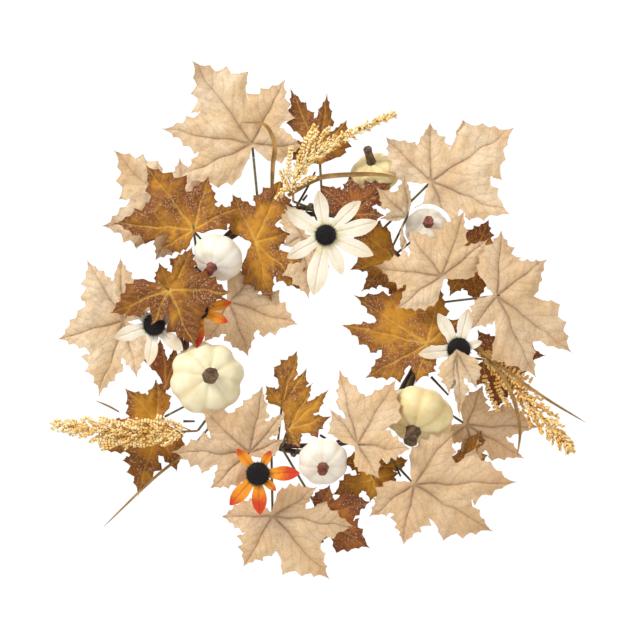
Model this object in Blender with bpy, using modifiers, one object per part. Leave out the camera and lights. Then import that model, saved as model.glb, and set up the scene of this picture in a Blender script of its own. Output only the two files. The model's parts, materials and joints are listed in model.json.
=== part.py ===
"""Harvest door wreath: a twisted vine ring dressed with fabric maple leaves, foam
pumpkins, daisies, sorghum heads and grass blades on wired stems.

The origin is the hang point, where a door hook touches the inside of the ring's top.
+Z is up, +X is to the right as seen by a visitor and the front faces -Y.
A place on the wreath is given by its angle about the ring's centre (degrees, 0 to the
right and 90 at the top), by how far it stands outside the ring's centre line, and by
how far it stands forward of the wires on the ring. Sizes in the tables are millimetres.
"""

import math
from collections import namedtuple

import bmesh
import bpy
from mathutils import Matrix, Vector

MM = 0.001

# Driving sizes, in millimetres.
RING_RADIUS = 118.0
STRAND_RADIUS = 2.6
STRAND_TWISTS = 6
PICK_RADIUS = 1.5
STEM_RADIUS = 1.2
LEAF_THICKNESS = 0.8
LAYER_SCALE = 1.0
PUMPKIN_WALL_DEPTH = 8.0
DAISY_EYE_HEIGHT = 5.0
GAP = 0.3

# Shape of the twisted ring and of the wires that bind the picks to it.
POINTS_PER_TWIST = 10
STRAND_OFFSET = (STRAND_RADIUS + GAP) / math.cos(math.pi / POINTS_PER_TWIST)
BUNDLE_RADIUS = STRAND_OFFSET + STRAND_RADIUS
WRAP_OFFSET = BUNDLE_RADIUS + GAP + PICK_RADIUS
WRAP_DEGREES = 8.0
WRAP_POINTS = 10
FLAT_STEP = 6.0
FRONT = WRAP_OFFSET + PICK_RADIUS + GAP
CENTRE_HEIGHT = -(RING_RADIUS - BUNDLE_RADIUS)

# A maple lobe's half outline, from its sinus to its tip, as shares of the half angle
# to the next lobe and of the lobe's length. A petal's is fuller.
MAPLE_LOBE = ((0.60, 0.76), (0.30, 0.74))
MAPLE_SINUS = 0.53
PETAL_LOBE = ((0.70, 0.50), (0.30, 0.88))
PETAL_SINUS = 0.28
WIDEST_HALF_LOBE = 27.0
BASE_NOTCH_GAP = 76.0
BASE_NOTCH_RADIUS = 4.0
CUP_RADIUS = 60.0

CREAM = ("fabric_cream", (0.80, 0.64, 0.47), 0.85)
AMBER = ("fabric_amber", (0.45, 0.22, 0.05), 0.80)
RUST = ("fabric_rust", (0.26, 0.09, 0.02), 0.80)
IVORY = ("foam_ivory", (0.90, 0.84, 0.72), 0.45)
BUTTER = ("foam_butter", (0.86, 0.76, 0.48), 0.45)
STALK = ("moulded_stalk", (0.16, 0.07, 0.04), 0.60)
PETAL_CREAM = ("fabric_petal_cream", (0.86, 0.76, 0.60), 0.75)
PETAL_ORANGE = ("fabric_petal_orange", (0.80, 0.16, 0.02), 0.70)
FUZZ = ("flock_black", (0.02, 0.02, 0.02), 0.95)
VINE = ("vine_brown", (0.05, 0.02, 0.01), 0.55)
STEM = ("stem_olive", (0.10, 0.06, 0.03), 0.60)
GRAIN = ("sorghum_grain", (0.85, 0.50, 0.12), 0.50)
GRASS = ("dried_grass", (0.38, 0.20, 0.07), 0.70)

# at: (angle, out); depth: forward of the wires at the base; tilt: forward rise for
# each mm to the right and for each mm up; cup: forward rise 60 mm out from the base;
# root: the ring angle that the stem comes from; lobes: (bearing, length).
Leaf = namedtuple("Leaf", "name finish at depth tilt cup root lobes")
LEAVES = (
    Leaf("cream_leaf_eleven", CREAM, (105, 73), 4, (0.0, 0.05), 3, 111,
         ((-3, 51), (63, 70), (126, 100), (171, 90), (205, 81))),
    Leaf("cream_leaf_ten", CREAM, (137, 45), -5, (0.0, 0.0), 2, 139,
         ((92, 59), (135, 95), (186, 79), (238, 50))),
    Leaf("cream_leaf_nine", CREAM, (177, 59), -1, (0.0, 0.0), 2, 172,
         ((53, 41), (93, 63), (121, 70), (196, 67), (252, 79), (283, 57))),
    Leaf("cream_leaf_inner_left", CREAM, (159, -41), 6, (0.05, 0.0), 2, 157,
         ((238, 47), (289, 57), (342, 71), (411, 48))),
    Leaf("cream_leaf_seven", CREAM, (247, 13), 35, (-0.06, 0.12), 2, 250,
         ((22, 37), (49, 55), (79, 67), (138, 63), (179, 77), (222, 52))),
    Leaf("cream_leaf_six", CREAM, (261, 67), 27, (0.0, 0.0), -4, 255,
         ((181, 50), (240, 58), (312, 84), (352, 83), (393, 52))),
    Leaf("cream_leaf_five", CREAM, (306, 69), 38, (0.0, 0.10), -2, 302,
         ((216, 54), (260, 61), (329, 91), (361, 101), (414, 66))),
    Leaf("cream_leaf_inner_bottom", CREAM, (296, 7), 33, (0.34, 0.0), 2, 290,
         ((302, 39), (356, 51), (420, 74), (464, 76), (488, 44))),
    Leaf("cream_leaf_three", CREAM, (10, 76), 40, (-0.10, 0.0), -3, 12,
         ((232, 41), (296, 90), (323, 93), (396, 61), (446, 64))),
    Leaf("cream_leaf_one", CREAM, (49, 76), 22, (0.0, -0.04), 2, 52,
         ((294, 60), (337, 84), (393, 97), (451, 58), (496, 63))),
    Leaf("cream_leaf_two", CREAM, (21, 29), 36, (0.0, 0.0), -3, 18,
         ((39, 58), (71, 68), (125, 57), (171, 67), (216, 55))),
    Leaf("cream_leaf_four", CREAM, (330, 70), -3, (0.0, 0.0), 1, 332,
         ((222, 28), (283, 47), (330, 66), (358, 72), (428, 42))),
    Leaf("cream_leaf_inner_top", CREAM, (47, 34), 30, (-0.24, 0.05), 1, 42,
         ((94, 41), (137, 42), (184, 27), (261, 38))),
    Leaf("amber_leaf_ten", AMBER, (137, 28), 23, (0.0, 0.0), -3, 150,
         ((27, 48), (74, 54), (127, 78), (176, 79), (211, 40))),
    Leaf("amber_leaf_inner_top", AMBER, (118, -19), 16, (0.10, 0.0), -2, 120,
         ((286, 62), (315, 72), (372, 37), (426, 69), (475, 52))),
    Leaf("amber_leaf_nine", AMBER, (163, 19), 47, (0.0, 0.0), -4, 166,
         ((203, 61), (245, 39), (296, 63), (357, 61))),
    Leaf("amber_leaf_eight", AMBER, (212, 52), -2, (0.0, 0.0), 1, 214,
         ((91, 41), (134, 45), (208, 63), (256, 76), (292, 54))),
    Leaf("amber_leaf_bottom_small", AMBER, (255, -41), 12, (0.0, 0.0), 2, 258,
         ((56, 44), (74, 57), (129, 25))),
    Leaf("amber_leaf_bottom", AMBER, (262, -20), 24, (0.0, -0.10), 2, 262,
         ((302, 22), (376, 44), (404, 56), (422, 51))),
    Leaf("amber_leaf_twelve", AMBER, (84, 50), 3, (0.0, 0.0), 3, 84,
         ((57, 49), (84, 67), (112, 78), (146, 39))),
    Leaf("rust_leaf_one", RUST, (67, 7), 25, (0.10, 0.10), 1, 68,
         ((-4, 32), (37, 50), (93, 38), (138, 42))),
    Leaf("amber_leaf_three", AMBER, (354, 6), 27, (0.0, -0.30), 1, 350,
         ((37, 41), (77, 59), (147, 87), (168, 87), (209, 70), (253, 41))),
    Leaf("amber_leaf_one", AMBER, (39, -2), 5, (0.0, 0.0), 1, 20,
         ((142, 54), (198, 45), (228, 47), (277, 48))),
    Leaf("rust_leaf_six", RUST, (276, 65), 18, (0.0, 0.20), 0, 260,
         ((259, 37), (325, 58), (375, 50), (434, 31))),
    Leaf("amber_leaf_five", AMBER, (296, 44), 11, (0.0, 0.0), 1, 296,
         ((130, 24), (203, 44), (261, 24), (371, 25))),
    Leaf("rust_leaf_four", RUST, (351, 77), -1, (0.0, 0.0), 1, 349,
         ((122, 36), (229, 34), (271, 48), (347, 38), (366, 49))),
)

# radius: half the width; flatness: half the height along the core, as a share of the
# radius; axis: (right, forward, up) direction of the stalk; stalk: (length, radius);
# shift: how far it stands forward of resting on the wires, so the outer ones sink back.
Pumpkin = namedtuple("Pumpkin", "name finish at radius flatness axis stalk root shift")
PUMPKINS = (
    Pumpkin("pumpkin_ten", IVORY, (139, -9), 26.0, 0.80, (-0.40, 0.72, -0.60), (9, 6.5), 139, 0),
    Pumpkin("pumpkin_eight", BUTTER, (207, -13), 37.0, 0.76, (0.20, 0.96, 0.15), (12, 8.5), 207, 0),
    Pumpkin("pumpkin_six", IVORY, (279, 13), 25.0, 0.80, (0.0, 0.92, -0.38), (8, 6.5), 282, 0),
    Pumpkin("pumpkin_four", BUTTER, (324, 24), 35.5, 0.74, (-0.28, 0.62, -0.72), (15, 9), 324, -10),
    Pumpkin("pumpkin_one", BUTTER, (65, 52), 25.5, 0.80, (-0.25, 0.66, 0.70), (18, 5.5), 65, -16),
    Pumpkin("pumpkin_two", IVORY, (39, 41), 22.5, 0.78, (0.05, 0.90, 0.40), (7, 6), 39, -14),
)
RIBS = 8
PUMPKIN_SEGMENTS = 24
PUMPKIN_RINGS = 9
RIB_DEPTH = 0.07
DIMPLE_DEPTH = 0.22

# lift: forward rise of the petal tips; petals: (bearing, length).
Daisy = namedtuple("Daisy", "name finish at depth tilt lift eye root petals")
DAISIES = (
    Daisy("daisy_top", PETAL_CREAM, (76, -22), 42, (0.0, 0.0), 3, 11.0, 79,
          ((14, 53), (44, 48), (99, 44), (148, 45), (211, 44), (259, 60), (293, 42), (337, 51))),
    Daisy("daisy_nine", PETAL_CREAM, (178, 27), 36, (0.0, 0.0), 12, 11.5, 179,
          ((25, 33), (83, 42), (140, 37), (198, 41), (263, 40), (318, 38))),
    Daisy("daisy_three", PETAL_CREAM, (353, 37), 36, (0.0, 0.0), 1, 12.5, 349,
          ((18, 24), (76, 41), (120, 41), (187, 40), (259, 40), (304, 36))),
    Daisy("daisy_seven", PETAL_ORANGE, (253, 29), 48, (0.0, 0.0), 4, 12.5, 253,
          ((1, 41), (61, 26), (130, 32), (228, 41), (273, 40), (317, 24))),
    Daisy("daisy_ten", PETAL_ORANGE, (169, -16), 37, (0.0, 0.0), 10, 9.0, 171,
          ((14, 32), (110, 23), (196, 17), (265, 37), (337, 30))),
)
EYE_SEGMENTS = 12
EYE_RINGS = 6

# path: (right, up, forward, radius) steps from the base at (angle, out, depth).
Sprig = namedtuple("Sprig", "name finish at depth root path")
SPRIGS = (
    Sprig("sorghum_eight", GRAIN, (224, 25), 19, 222,
          ((0, 0, 0, 1.2), (-22, -1, 2, 6), (-45, -2, 3, 12), (-77, -2, 3, 15),
           (-110, 2, 2, 9), (-142, 6, 1, 4))),
    Sprig("sorghum_twelve", GRAIN, (94, 9), 22, 80,
          ((0, 0, 0, 1.2), (2, 20, 8, 9), (18, 44, 11, 15), (50, 63, 13, 10), (100, 86, 14, 5))),
    Sprig("sorghum_three", GRAIN, (354, 52), 15, 350,
          ((0, 0, 0, 1.2), (12, -10, 2, 7), (31, -26, 3, 13), (64, -65, 3, 13), (96, -101, 2, 5))),
    Sprig("grass_blade_eleven", GRASS, (102, 25), 8, 103,
          ((0, 0, 0, 1.1), (1, 24, 6, 1.1), (3, 38, 9, 1.0), (1, 50, 10, 0.9),
           (-8, 63, 10, 0.8), (-28, 65, 10, 0.6))),
    Sprig("grass_blade_seven", GRASS, (227, 48), 3, 226,
          ((0, 0, 0, 1.1), (-32, -24, 2, 1.0), (-83, -73, 3, 0.6))),
    Sprig("grass_blade_three", GRASS, (355, 50), 33, 346,
          ((0, 0, 0, 1.1), (64, -47, 2, 1.0), (111, -76, 2, 0.6))),
)

# A pick is one wire: it winds once round the ring at each end and lies along the
# ring's front between. Its branches are the stems that come from its stretch.
PICKS = (
    ("pick_wire_upper_left", 98.0, 170.0),
    ("pick_wire_upper_right", 10.0, 80.0),
    ("pick_wire_lower_left", 190.0, 260.0),
    ("pick_wire_lower_right", 282.0, 350.0),
)
STEM_LENGTH = 14.0
STEM_UNDER_LEAF = 5.0
STEM_BEHIND_LEAF = 1.1
SOCKET_GAP = 0.3

wreath = None
helpers = None


def at_ring(angle, out, forward):
    """World point at a ring angle, out from the centre line and forward of it."""
    turn = math.radians(angle)
    radius = RING_RADIUS + out
    return Vector((
        radius * math.cos(turn),
        -forward,
        radius * math.sin(turn) + CENTRE_HEIGHT,
    )) * MM


def forward_of_wires(depth):
    """Distance forward of the ring's centre plane for a table depth."""
    return FRONT + depth * LAYER_SCALE


def collection(name):
    made = bpy.data.collections.new(name)
    bpy.context.scene.collection.children.link(made)
    return made


def finish_material(finish):
    """The material for a finish, made once."""
    name, colour, roughness = finish
    material = bpy.data.materials.get(name)
    if material:
        return material
    material = bpy.data.materials.new(name)
    material.use_nodes = True
    shader = material.node_tree.nodes["Principled BSDF"]
    shader.inputs["Base Color"].default_value = (*colour, 1.0)
    shader.inputs["Roughness"].default_value = roughness
    shader.inputs["Metallic"].default_value = 0.0
    return material


def add_object(name, mesh, finish, origin=None):
    """Put a mesh in the wreath's collection, with its origin moved to a point."""
    made = bpy.data.objects.new(name, mesh)
    wreath.objects.link(made)
    made.data.materials.clear()
    made.data.materials.append(finish_material(finish))
    if origin is not None:
        made.data.transform(Matrix.Translation(-origin))
        made.location = origin
    return made


def tube_mesh(name, points, radii, sides=6, cyclic=False):
    """A closed tube mesh along points, from a bevelled poly curve."""
    curve = bpy.data.curves.new(name, "CURVE")
    curve.dimensions = "3D"
    curve.bevel_depth = 1.0
    curve.bevel_resolution = (sides - 4) // 2
    curve.use_fill_caps = not cyclic
    spline = curve.splines.new("POLY")
    spline.points.add(len(points) - 1)
    spline.use_cyclic_u = cyclic
    for knot, place, radius in zip(spline.points, points, radii):
        knot.co = (*place, 1.0)
        knot.radius = radius * MM
    guide = bpy.data.objects.new(name + "_guide", curve)
    helpers.objects.link(guide)
    graph = bpy.context.evaluated_depsgraph_get()
    mesh = bpy.data.meshes.new_from_object(guide.evaluated_get(graph))
    bpy.data.objects.remove(guide)
    mesh.name = name
    form = bmesh.new()
    form.from_mesh(mesh)
    bmesh.ops.remove_doubles(form, verts=form.verts, dist=0.00001)
    bmesh.ops.recalc_face_normals(form, faces=form.faces)
    form.to_mesh(mesh)
    form.free()
    return mesh


def add_helper(name, mesh):
    """A hidden object that a Boolean joins or cuts with."""
    made = bpy.data.objects.new(name, mesh)
    helpers.objects.link(made)
    made.hide_render = True
    made.display_type = "WIRE"
    return made


def add_boolean(target, other, operation):
    modifier = target.modifiers.new(other.name, "BOOLEAN")
    modifier.operation = operation
    modifier.solver = "EXACT"
    modifier.object = other


def add_strand(name, phase):
    """One of the two vine strands, twisted round the ring's centre line."""
    count = STRAND_TWISTS * POINTS_PER_TWIST
    points = []
    for step in range(count):
        turn = 2.0 * math.pi * step / count
        twist = STRAND_TWISTS * turn + phase
        points.append(at_ring(
            math.degrees(turn),
            STRAND_OFFSET * math.cos(twist),
            STRAND_OFFSET * math.sin(twist),
        ))
    mesh = tube_mesh(name, points, [STRAND_RADIUS] * count, sides=8, cyclic=True)
    mesh.shade_smooth()
    return add_object(name, mesh, VINE)


def wrap_point(angle, turns):
    """A point on a wire wound round the ring, a number of turns from its front."""
    wound = math.radians(90.0 + 360.0 * turns)
    return at_ring(angle, WRAP_OFFSET * math.cos(wound), WRAP_OFFSET * math.sin(wound))


def pick_path(start, end):
    """The main wire of a pick: a turn round the ring, a flat run, and another turn."""
    path = []
    for step in range(WRAP_POINTS):
        share = step / WRAP_POINTS
        path.append(wrap_point(start - WRAP_DEGREES * (1.0 - share), share - 1.0))
    runs = round((end - start) / FLAT_STEP)
    for step in range(runs + 1):
        path.append(wrap_point(start + (end - start) * step / runs, 0.0))
    for step in range(1, WRAP_POINTS + 1):
        share = step / WRAP_POINTS
        path.append(wrap_point(end + WRAP_DEGREES * share, share))
    return path


def pick_at(angle):
    """The name and the angle of the pick stretch nearest to a ring angle."""
    def miss(pick):
        return max(pick[1] - angle, angle - pick[2], 0.0)
    name, start, end = min(PICKS, key=miss)
    return name, min(max(angle, start), end)


def stem_root(angle):
    """The pick that carries a stem, and the point on its wire where the stem starts."""
    name, held = pick_at(angle)
    return name, wrap_point(held, 0.0)


def add_picks(stems):
    """Each pick's main wire, joined with the stems that grow from it."""
    for name, start, end in PICKS:
        path = pick_path(start, end)
        mesh = tube_mesh(name, path, [PICK_RADIUS] * len(path))
        pick = add_object(name, mesh, STEM)
        for index, (carrier, first, last) in enumerate(stems):
            if carrier != name:
                continue
            stem = tube_mesh(f"{name}_stem_{index}", [first, last], [STEM_RADIUS] * 2)
            add_boolean(pick, add_helper(stem.name, stem), "UNION")


def lobe_outline(lobes, half_lobe, sinus):
    """The (bearing, radius) outline of a blade with pointed lobes."""
    outline = []
    count = len(lobes)
    for index, (bearing, length) in enumerate(lobes):
        before = lobes[index - 1][0] - (360 if index == 0 else 0)
        after = lobes[(index + 1) % count][0] + (360 if index == count - 1 else 0)
        next_length = lobes[(index + 1) % count][1]
        half_before = min((bearing - before) / 2.0, WIDEST_HALF_LOBE)
        half_after = min((after - bearing) / 2.0, WIDEST_HALF_LOBE)
        for share, reach in half_lobe:
            outline.append((bearing - share * half_before, reach * length))
        outline.append((bearing, length))
        for share, reach in reversed(half_lobe):
            outline.append((bearing + share * half_after, reach * length))
        if after - bearing < BASE_NOTCH_GAP:
            outline.append(((bearing + after) / 2.0, sinus * min(length, next_length)))
            continue
        outline.append((bearing + WIDEST_HALF_LOBE, sinus * length))
        outline.append(((bearing + after) / 2.0, BASE_NOTCH_RADIUS))
        outline.append((after - WIDEST_HALF_LOBE, sinus * next_length))
    return outline


def blade_mesh(name, base, tilt, cup, outline):
    """A thin blade: a fan from the point where its veins meet out to its outline."""
    form = bmesh.new()
    centre = form.verts.new(base)
    rim = []
    for bearing, radius in outline:
        right = radius * math.cos(math.radians(bearing))
        up = radius * math.sin(math.radians(bearing))
        rise = tilt[0] * right + tilt[1] * up + cup * (radius / CUP_RADIUS) ** 2
        rim.append(form.verts.new(base + Vector((right, -rise, up)) * MM))
    for index, corner in enumerate(rim):
        form.faces.new((centre, corner, rim[(index + 1) % len(rim)]))
    mesh = bpy.data.meshes.new(name)
    form.normal_update()
    form.to_mesh(mesh)
    form.free()
    return mesh


def add_blade(name, finish, base, tilt, cup, outline, root, stems):
    """A fabric blade with its moulded stem end, and the wire that meets the stem.

    The blade's origin is the end of its stem, where the wire bends.
    """
    carrier, start = stem_root(root)
    reach = (start - base).normalized()
    behind = Vector((tilt[0], 1.0, tilt[1])).normalized() * STEM_BEHIND_LEAF * MM
    inward = reach - behind.normalized() * reach.dot(behind.normalized())
    under = base + behind - inward * STEM_UNDER_LEAF * MM
    neck = base + behind
    last = neck + (start - neck).normalized() * STEM_LENGTH * MM
    blade = add_object(name, blade_mesh(name, base, tilt, cup, outline), finish, last)
    wall = blade.modifiers.new("thickness", "SOLIDIFY")
    wall.thickness = LEAF_THICKNESS * MM
    wall.offset = 0.0
    points = [under, neck, last]
    stem = tube_mesh(name + "_stem", points, [STEM_RADIUS] * len(points))
    add_boolean(blade, add_helper(name + "_stem", stem), "UNION")
    stems.append((carrier, start, last + (start - last).normalized() * GAP * MM))
    return last


def add_leaf(leaf, stems):
    base = at_ring(*leaf.at, forward_of_wires(leaf.depth))
    outline = lobe_outline(leaf.lobes, MAPLE_LOBE, MAPLE_SINUS)
    add_blade(leaf.name, leaf.finish, base, leaf.tilt, leaf.cup, outline, leaf.root, stems)


def add_daisy(daisy, stems):
    """A stamped flower of petals, and the fuzzy eye in front of it."""
    base = at_ring(*daisy.at, forward_of_wires(daisy.depth))
    outline = lobe_outline(daisy.petals, PETAL_LOBE, PETAL_SINUS)
    name = daisy.name + "_petals"
    bend = add_blade(
        name, daisy.finish, base, daisy.tilt, daisy.lift, outline, daisy.root, stems)
    form = bmesh.new()
    bmesh.ops.create_uvsphere(form, u_segments=EYE_SEGMENTS, v_segments=EYE_RINGS, radius=1.0)
    half = [corner for corner in form.verts if corner.co.z < -0.01]
    bmesh.ops.delete(form, geom=half, context="VERTS")
    rim = [edge for edge in form.edges if edge.is_boundary]
    bmesh.ops.contextual_create(form, geom=rim)
    scale = Vector((daisy.eye, daisy.eye, DAISY_EYE_HEIGHT)) * MM
    bmesh.ops.scale(form, vec=scale, verts=form.verts)
    facing = Vector((-daisy.tilt[0], -1.0, -daisy.tilt[1])).normalized()
    turn = Vector((0.0, 0.0, 1.0)).rotation_difference(facing).to_matrix()
    bmesh.ops.rotate(form, cent=(0, 0, 0), matrix=turn, verts=form.verts)
    bmesh.ops.recalc_face_normals(form, faces=form.faces)
    mesh = bpy.data.meshes.new(daisy.name + "_eye")
    form.to_mesh(mesh)
    form.free()
    mesh.shade_smooth()
    lift = LEAF_THICKNESS / 2.0 + daisy.lift * (daisy.eye / CUP_RADIUS) + GAP + 0.5
    mesh.transform(Matrix.Translation(base + facing * lift * MM))
    add_object(daisy.name + "_eye", mesh, FUZZ, bend)


def pumpkin_height(pumpkin, latitude):
    """Height along the core at a latitude, with a dimple round each pole."""
    slope = abs(math.sin(latitude))
    dimple = DIMPLE_DEPTH * max(slope - 0.72, 0.0) / 0.28
    height = pumpkin.radius * pumpkin.flatness * (slope - dimple * slope)
    return math.copysign(height, latitude)


def shape_pumpkin(pumpkin, form):
    """Flatten a sphere, rib it and dimple its poles."""
    for corner in form.verts:
        latitude = math.asin(max(-1.0, min(1.0, corner.co.z)))
        longitude = math.atan2(corner.co.y, corner.co.x)
        rib = 1.0 - RIB_DEPTH * (1.0 + math.cos(RIBS * longitude)) / 2.0
        across = math.cos(latitude) * pumpkin.radius * rib
        corner.co = Vector((
            across * math.cos(longitude),
            across * math.sin(longitude),
            pumpkin_height(pumpkin, latitude),
        )) * MM


def add_stalk(pumpkin, centre, turn):
    """The moulded stalk, standing in the pumpkin's top dimple."""
    length, radius = pumpkin.stalk
    foot = math.acos(min(1.0, radius / pumpkin.radius))
    seat = max(pumpkin_height(pumpkin, foot), pumpkin_height(pumpkin, math.pi / 2.0))
    profile = ((0.0, 1.0), (0.25, 0.72), (0.8, 0.62), (1.0, 0.78))
    points = []
    radii = []
    for share, width in profile:
        along = seat + GAP + share * length
        points.append(centre + turn @ Vector((0.0, 0.0, along)) * MM)
        radii.append(radius * width)
    mesh = tube_mesh(pumpkin.name + "_stalk", points, radii, sides=8)
    return add_object(pumpkin.name + "_stalk", mesh, STALK)


def add_pumpkin(pumpkin, stems):
    """A foam pumpkin with the socket that its wire is pushed into."""
    half = pumpkin.radius * pumpkin.flatness
    lean = pumpkin.axis[1] / Vector(pumpkin.axis).length
    reach = math.hypot(half * lean, pumpkin.radius * math.sqrt(1.0 - lean * lean))
    forward = FRONT + GAP + reach + pumpkin.shift
    centre = at_ring(*pumpkin.at, forward)
    axis = Vector((pumpkin.axis[0], -pumpkin.axis[1], pumpkin.axis[2])).normalized()
    turn = Vector((0.0, 0.0, 1.0)).rotation_difference(axis).to_matrix()
    form = bmesh.new()
    bmesh.ops.create_uvsphere(
        form, u_segments=PUMPKIN_SEGMENTS, v_segments=PUMPKIN_RINGS, radius=1.0)
    shape_pumpkin(pumpkin, form)
    bmesh.ops.rotate(form, cent=(0, 0, 0), matrix=turn, verts=form.verts)
    bmesh.ops.recalc_face_normals(form, faces=form.faces)
    mesh = bpy.data.meshes.new(pumpkin.name)
    form.to_mesh(mesh)
    form.free()
    mesh.shade_smooth()
    body = add_object(pumpkin.name, mesh, pumpkin.finish)
    body.location = centre
    carrier, start = stem_root(pumpkin.root)
    depth = half - PUMPKIN_WALL_DEPTH
    last = centre + (start - centre).normalized() * depth * MM
    outside = start + (start - centre).normalized() * pumpkin.radius * MM
    bottom = last + (last - start).normalized() * SOCKET_GAP * MM
    socket = tube_mesh(pumpkin.name + "_socket", [bottom, outside],
                       [STEM_RADIUS + SOCKET_GAP] * 2, sides=8)
    add_boolean(body, add_helper(socket.name, socket), "DIFFERENCE")
    stems.append((carrier, start, last))
    add_stalk(pumpkin, centre, turn)


def add_sprig(sprig, stems):
    """A sorghum head or a grass blade, as a tapered tube on its stem."""
    base = at_ring(*sprig.at, forward_of_wires(sprig.depth))
    carrier, start = stem_root(sprig.root)
    points = [base + Vector((x, -forward, z)) * MM for x, z, forward, _ in sprig.path]
    radii = [step[3] for step in sprig.path]
    sides = 8 if max(radii) > 2.0 else 6
    mesh = tube_mesh(sprig.name, points, radii, sides=sides)
    add_object(sprig.name, mesh, sprig.finish, base)
    stems.append((carrier, start, base + (start - base).normalized() * 1.2 * MM))


def main():
    global wreath, helpers
    for old in list(bpy.data.objects):
        bpy.data.objects.remove(old, do_unlink=True)
    wreath = collection("harvest_door_wreath")
    helpers = collection("joining_and_cutting_helpers")
    stems = []
    add_strand("ring_strand_first", 0.0)
    add_strand("ring_strand_second", math.pi)
    for leaf in LEAVES:
        add_leaf(leaf, stems)
    for pumpkin in PUMPKINS:
        add_pumpkin(pumpkin, stems)
    for daisy in DAISIES:
        add_daisy(daisy, stems)
    for sprig in SPRIGS:
        add_sprig(sprig, stems)
    add_picks(stems)


main()
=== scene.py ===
"""Harvest door wreath: its leaves, pumpkins, daisies, grasses and ring, finished to look real.

Every piece is placed by the CAD node that it stands for. Lengths inside the functions are
millimetres, and a place on a blade is (right, up) from the point where its veins meet.
"""
import json
import math
import random

import bmesh
import bpy
import numpy as np
from mathutils import Matrix, Vector, noise
from mathutils.geometry import delaunay_2d_cdt

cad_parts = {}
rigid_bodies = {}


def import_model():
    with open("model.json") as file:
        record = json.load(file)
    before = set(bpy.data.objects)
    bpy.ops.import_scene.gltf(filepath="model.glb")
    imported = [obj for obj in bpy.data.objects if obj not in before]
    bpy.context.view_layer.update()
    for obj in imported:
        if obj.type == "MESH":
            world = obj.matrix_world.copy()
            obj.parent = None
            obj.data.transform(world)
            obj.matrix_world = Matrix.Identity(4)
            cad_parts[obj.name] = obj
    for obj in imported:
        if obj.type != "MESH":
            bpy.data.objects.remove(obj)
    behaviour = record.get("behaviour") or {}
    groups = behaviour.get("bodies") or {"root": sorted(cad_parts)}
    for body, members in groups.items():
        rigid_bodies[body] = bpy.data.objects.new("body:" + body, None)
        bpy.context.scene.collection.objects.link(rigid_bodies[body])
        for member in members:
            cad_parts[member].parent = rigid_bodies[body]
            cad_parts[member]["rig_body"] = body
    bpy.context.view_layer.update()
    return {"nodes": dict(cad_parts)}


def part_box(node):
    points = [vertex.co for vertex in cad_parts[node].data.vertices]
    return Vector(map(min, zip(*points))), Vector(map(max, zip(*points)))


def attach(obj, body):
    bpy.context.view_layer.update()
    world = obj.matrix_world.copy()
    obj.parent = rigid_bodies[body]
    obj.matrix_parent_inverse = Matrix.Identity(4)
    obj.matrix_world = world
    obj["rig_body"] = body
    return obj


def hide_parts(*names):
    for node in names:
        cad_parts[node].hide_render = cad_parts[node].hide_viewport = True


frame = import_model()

bl_info = {
    "name": "Harvest door wreath",
    "version": (1, 0, 0),
    "blender": (4, 5, 0),
    "location": "3D View > Sidebar > Wreath",
    "description": "Fabric leaves, foam pumpkins, daisies and grasses on a twisted vine ring",
    "category": "Add Mesh",
}

MM = 0.001
CUP_RADIUS = 60.0
MAIN_BODY = "ring_and_picks"
RING_NODE = "ring_strand_first"
WELD_GAP = 0.005 * MM
STEM_RADII = (0.5, 1.15, 1.2075, 1.2)
RIBBON_THICKNESS = 0.5
PUSHED_CLEAR = 2.5
SPIRAL_TURN = 2.39996
HAIR_ROOT = 0.30
HAIR_TIP = 0.06
# How far a pumpkin's foam stands out over its CAD solid: more for one above this radius.
LARGE_RADIUS = 30.0
LARGE_SWELL = 1.045
SMALL_SWELL = 1.02

# ---------------------------------------------------------------- reading the CAD


def body_of(node):
    """The body that a CAD node rides on."""
    return frame["nodes"][node]["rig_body"]


def merged(node):
    """A bmesh copy of a CAD node, with its loose triangles joined."""
    form = bmesh.new()
    form.from_mesh(frame["nodes"][node].data)
    bmesh.ops.remove_doubles(form, verts=form.verts, dist=0.01 * MM)
    form.normal_update()
    return form


def middle(node):
    """The centre of a CAD node's box, in millimetres."""
    low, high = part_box(node)
    return (low + high) / 2.0 / MM


def ring_centre():
    """The centre of the ring, in millimetres."""
    centre = middle(RING_NODE)
    return Vector((0.0, 0.0, centre.z))


class BladeForm:
    """The base, lobes, lean and stem end that a flat CAD blade shows."""

    def __init__(self, node):
        form = merged(node)
        front = [
            corner for corner in form.verts
            if sum(face.normal.y for face in corner.link_faces) < -0.5 * len(corner.link_faces)
        ]
        hub = max(front, key=lambda corner: len(corner.link_edges))
        self.base = hub.co / MM
        rim = []
        for edge in hub.link_edges:
            step = (edge.other_vert(hub).co - hub.co) / MM
            turn = math.degrees(math.atan2(step.z, step.x)) % 360.0
            rim.append((turn, math.hypot(step.x, step.z), -step.y))
        rim.sort()
        self.lobes = []
        for index, (turn, reach, _) in enumerate(rim):
            beside = max(rim[index - 1][1], rim[(index + 1) % len(rim)][1])
            if reach > 1.05 * beside:
                self.lobes.append((turn, reach))
        rows = [[1.0, r * math.cos(math.radians(t)), r * math.sin(math.radians(t)),
                 (r / CUP_RADIUS) ** 2] for t, r, _ in rim]
        fit = np.linalg.lstsq(np.array(rows), np.array([f for _, _, f in rim]), rcond=None)[0]
        self.lean = tuple(float(value) for value in fit[1:])
        steps = [corner.co / MM - self.base for corner in form.verts]
        behind = [s for s in steps if -s.y < self.rise(s.x, s.z) - 1.3]
        far = max(behind, key=lambda step: step.length)
        ends = [step for step in behind if (step - far).length < 2.6]
        self.stem_end = self.base + sum(ends, Vector()) / len(ends)
        form.free()

    def rise(self, right, up):
        """How far forward of the base the blade's middle surface stands at a place."""
        bend = (right * right + up * up) / CUP_RADIUS ** 2
        return self.lean[0] * right + self.lean[1] * up + self.lean[2] * bend


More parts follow.
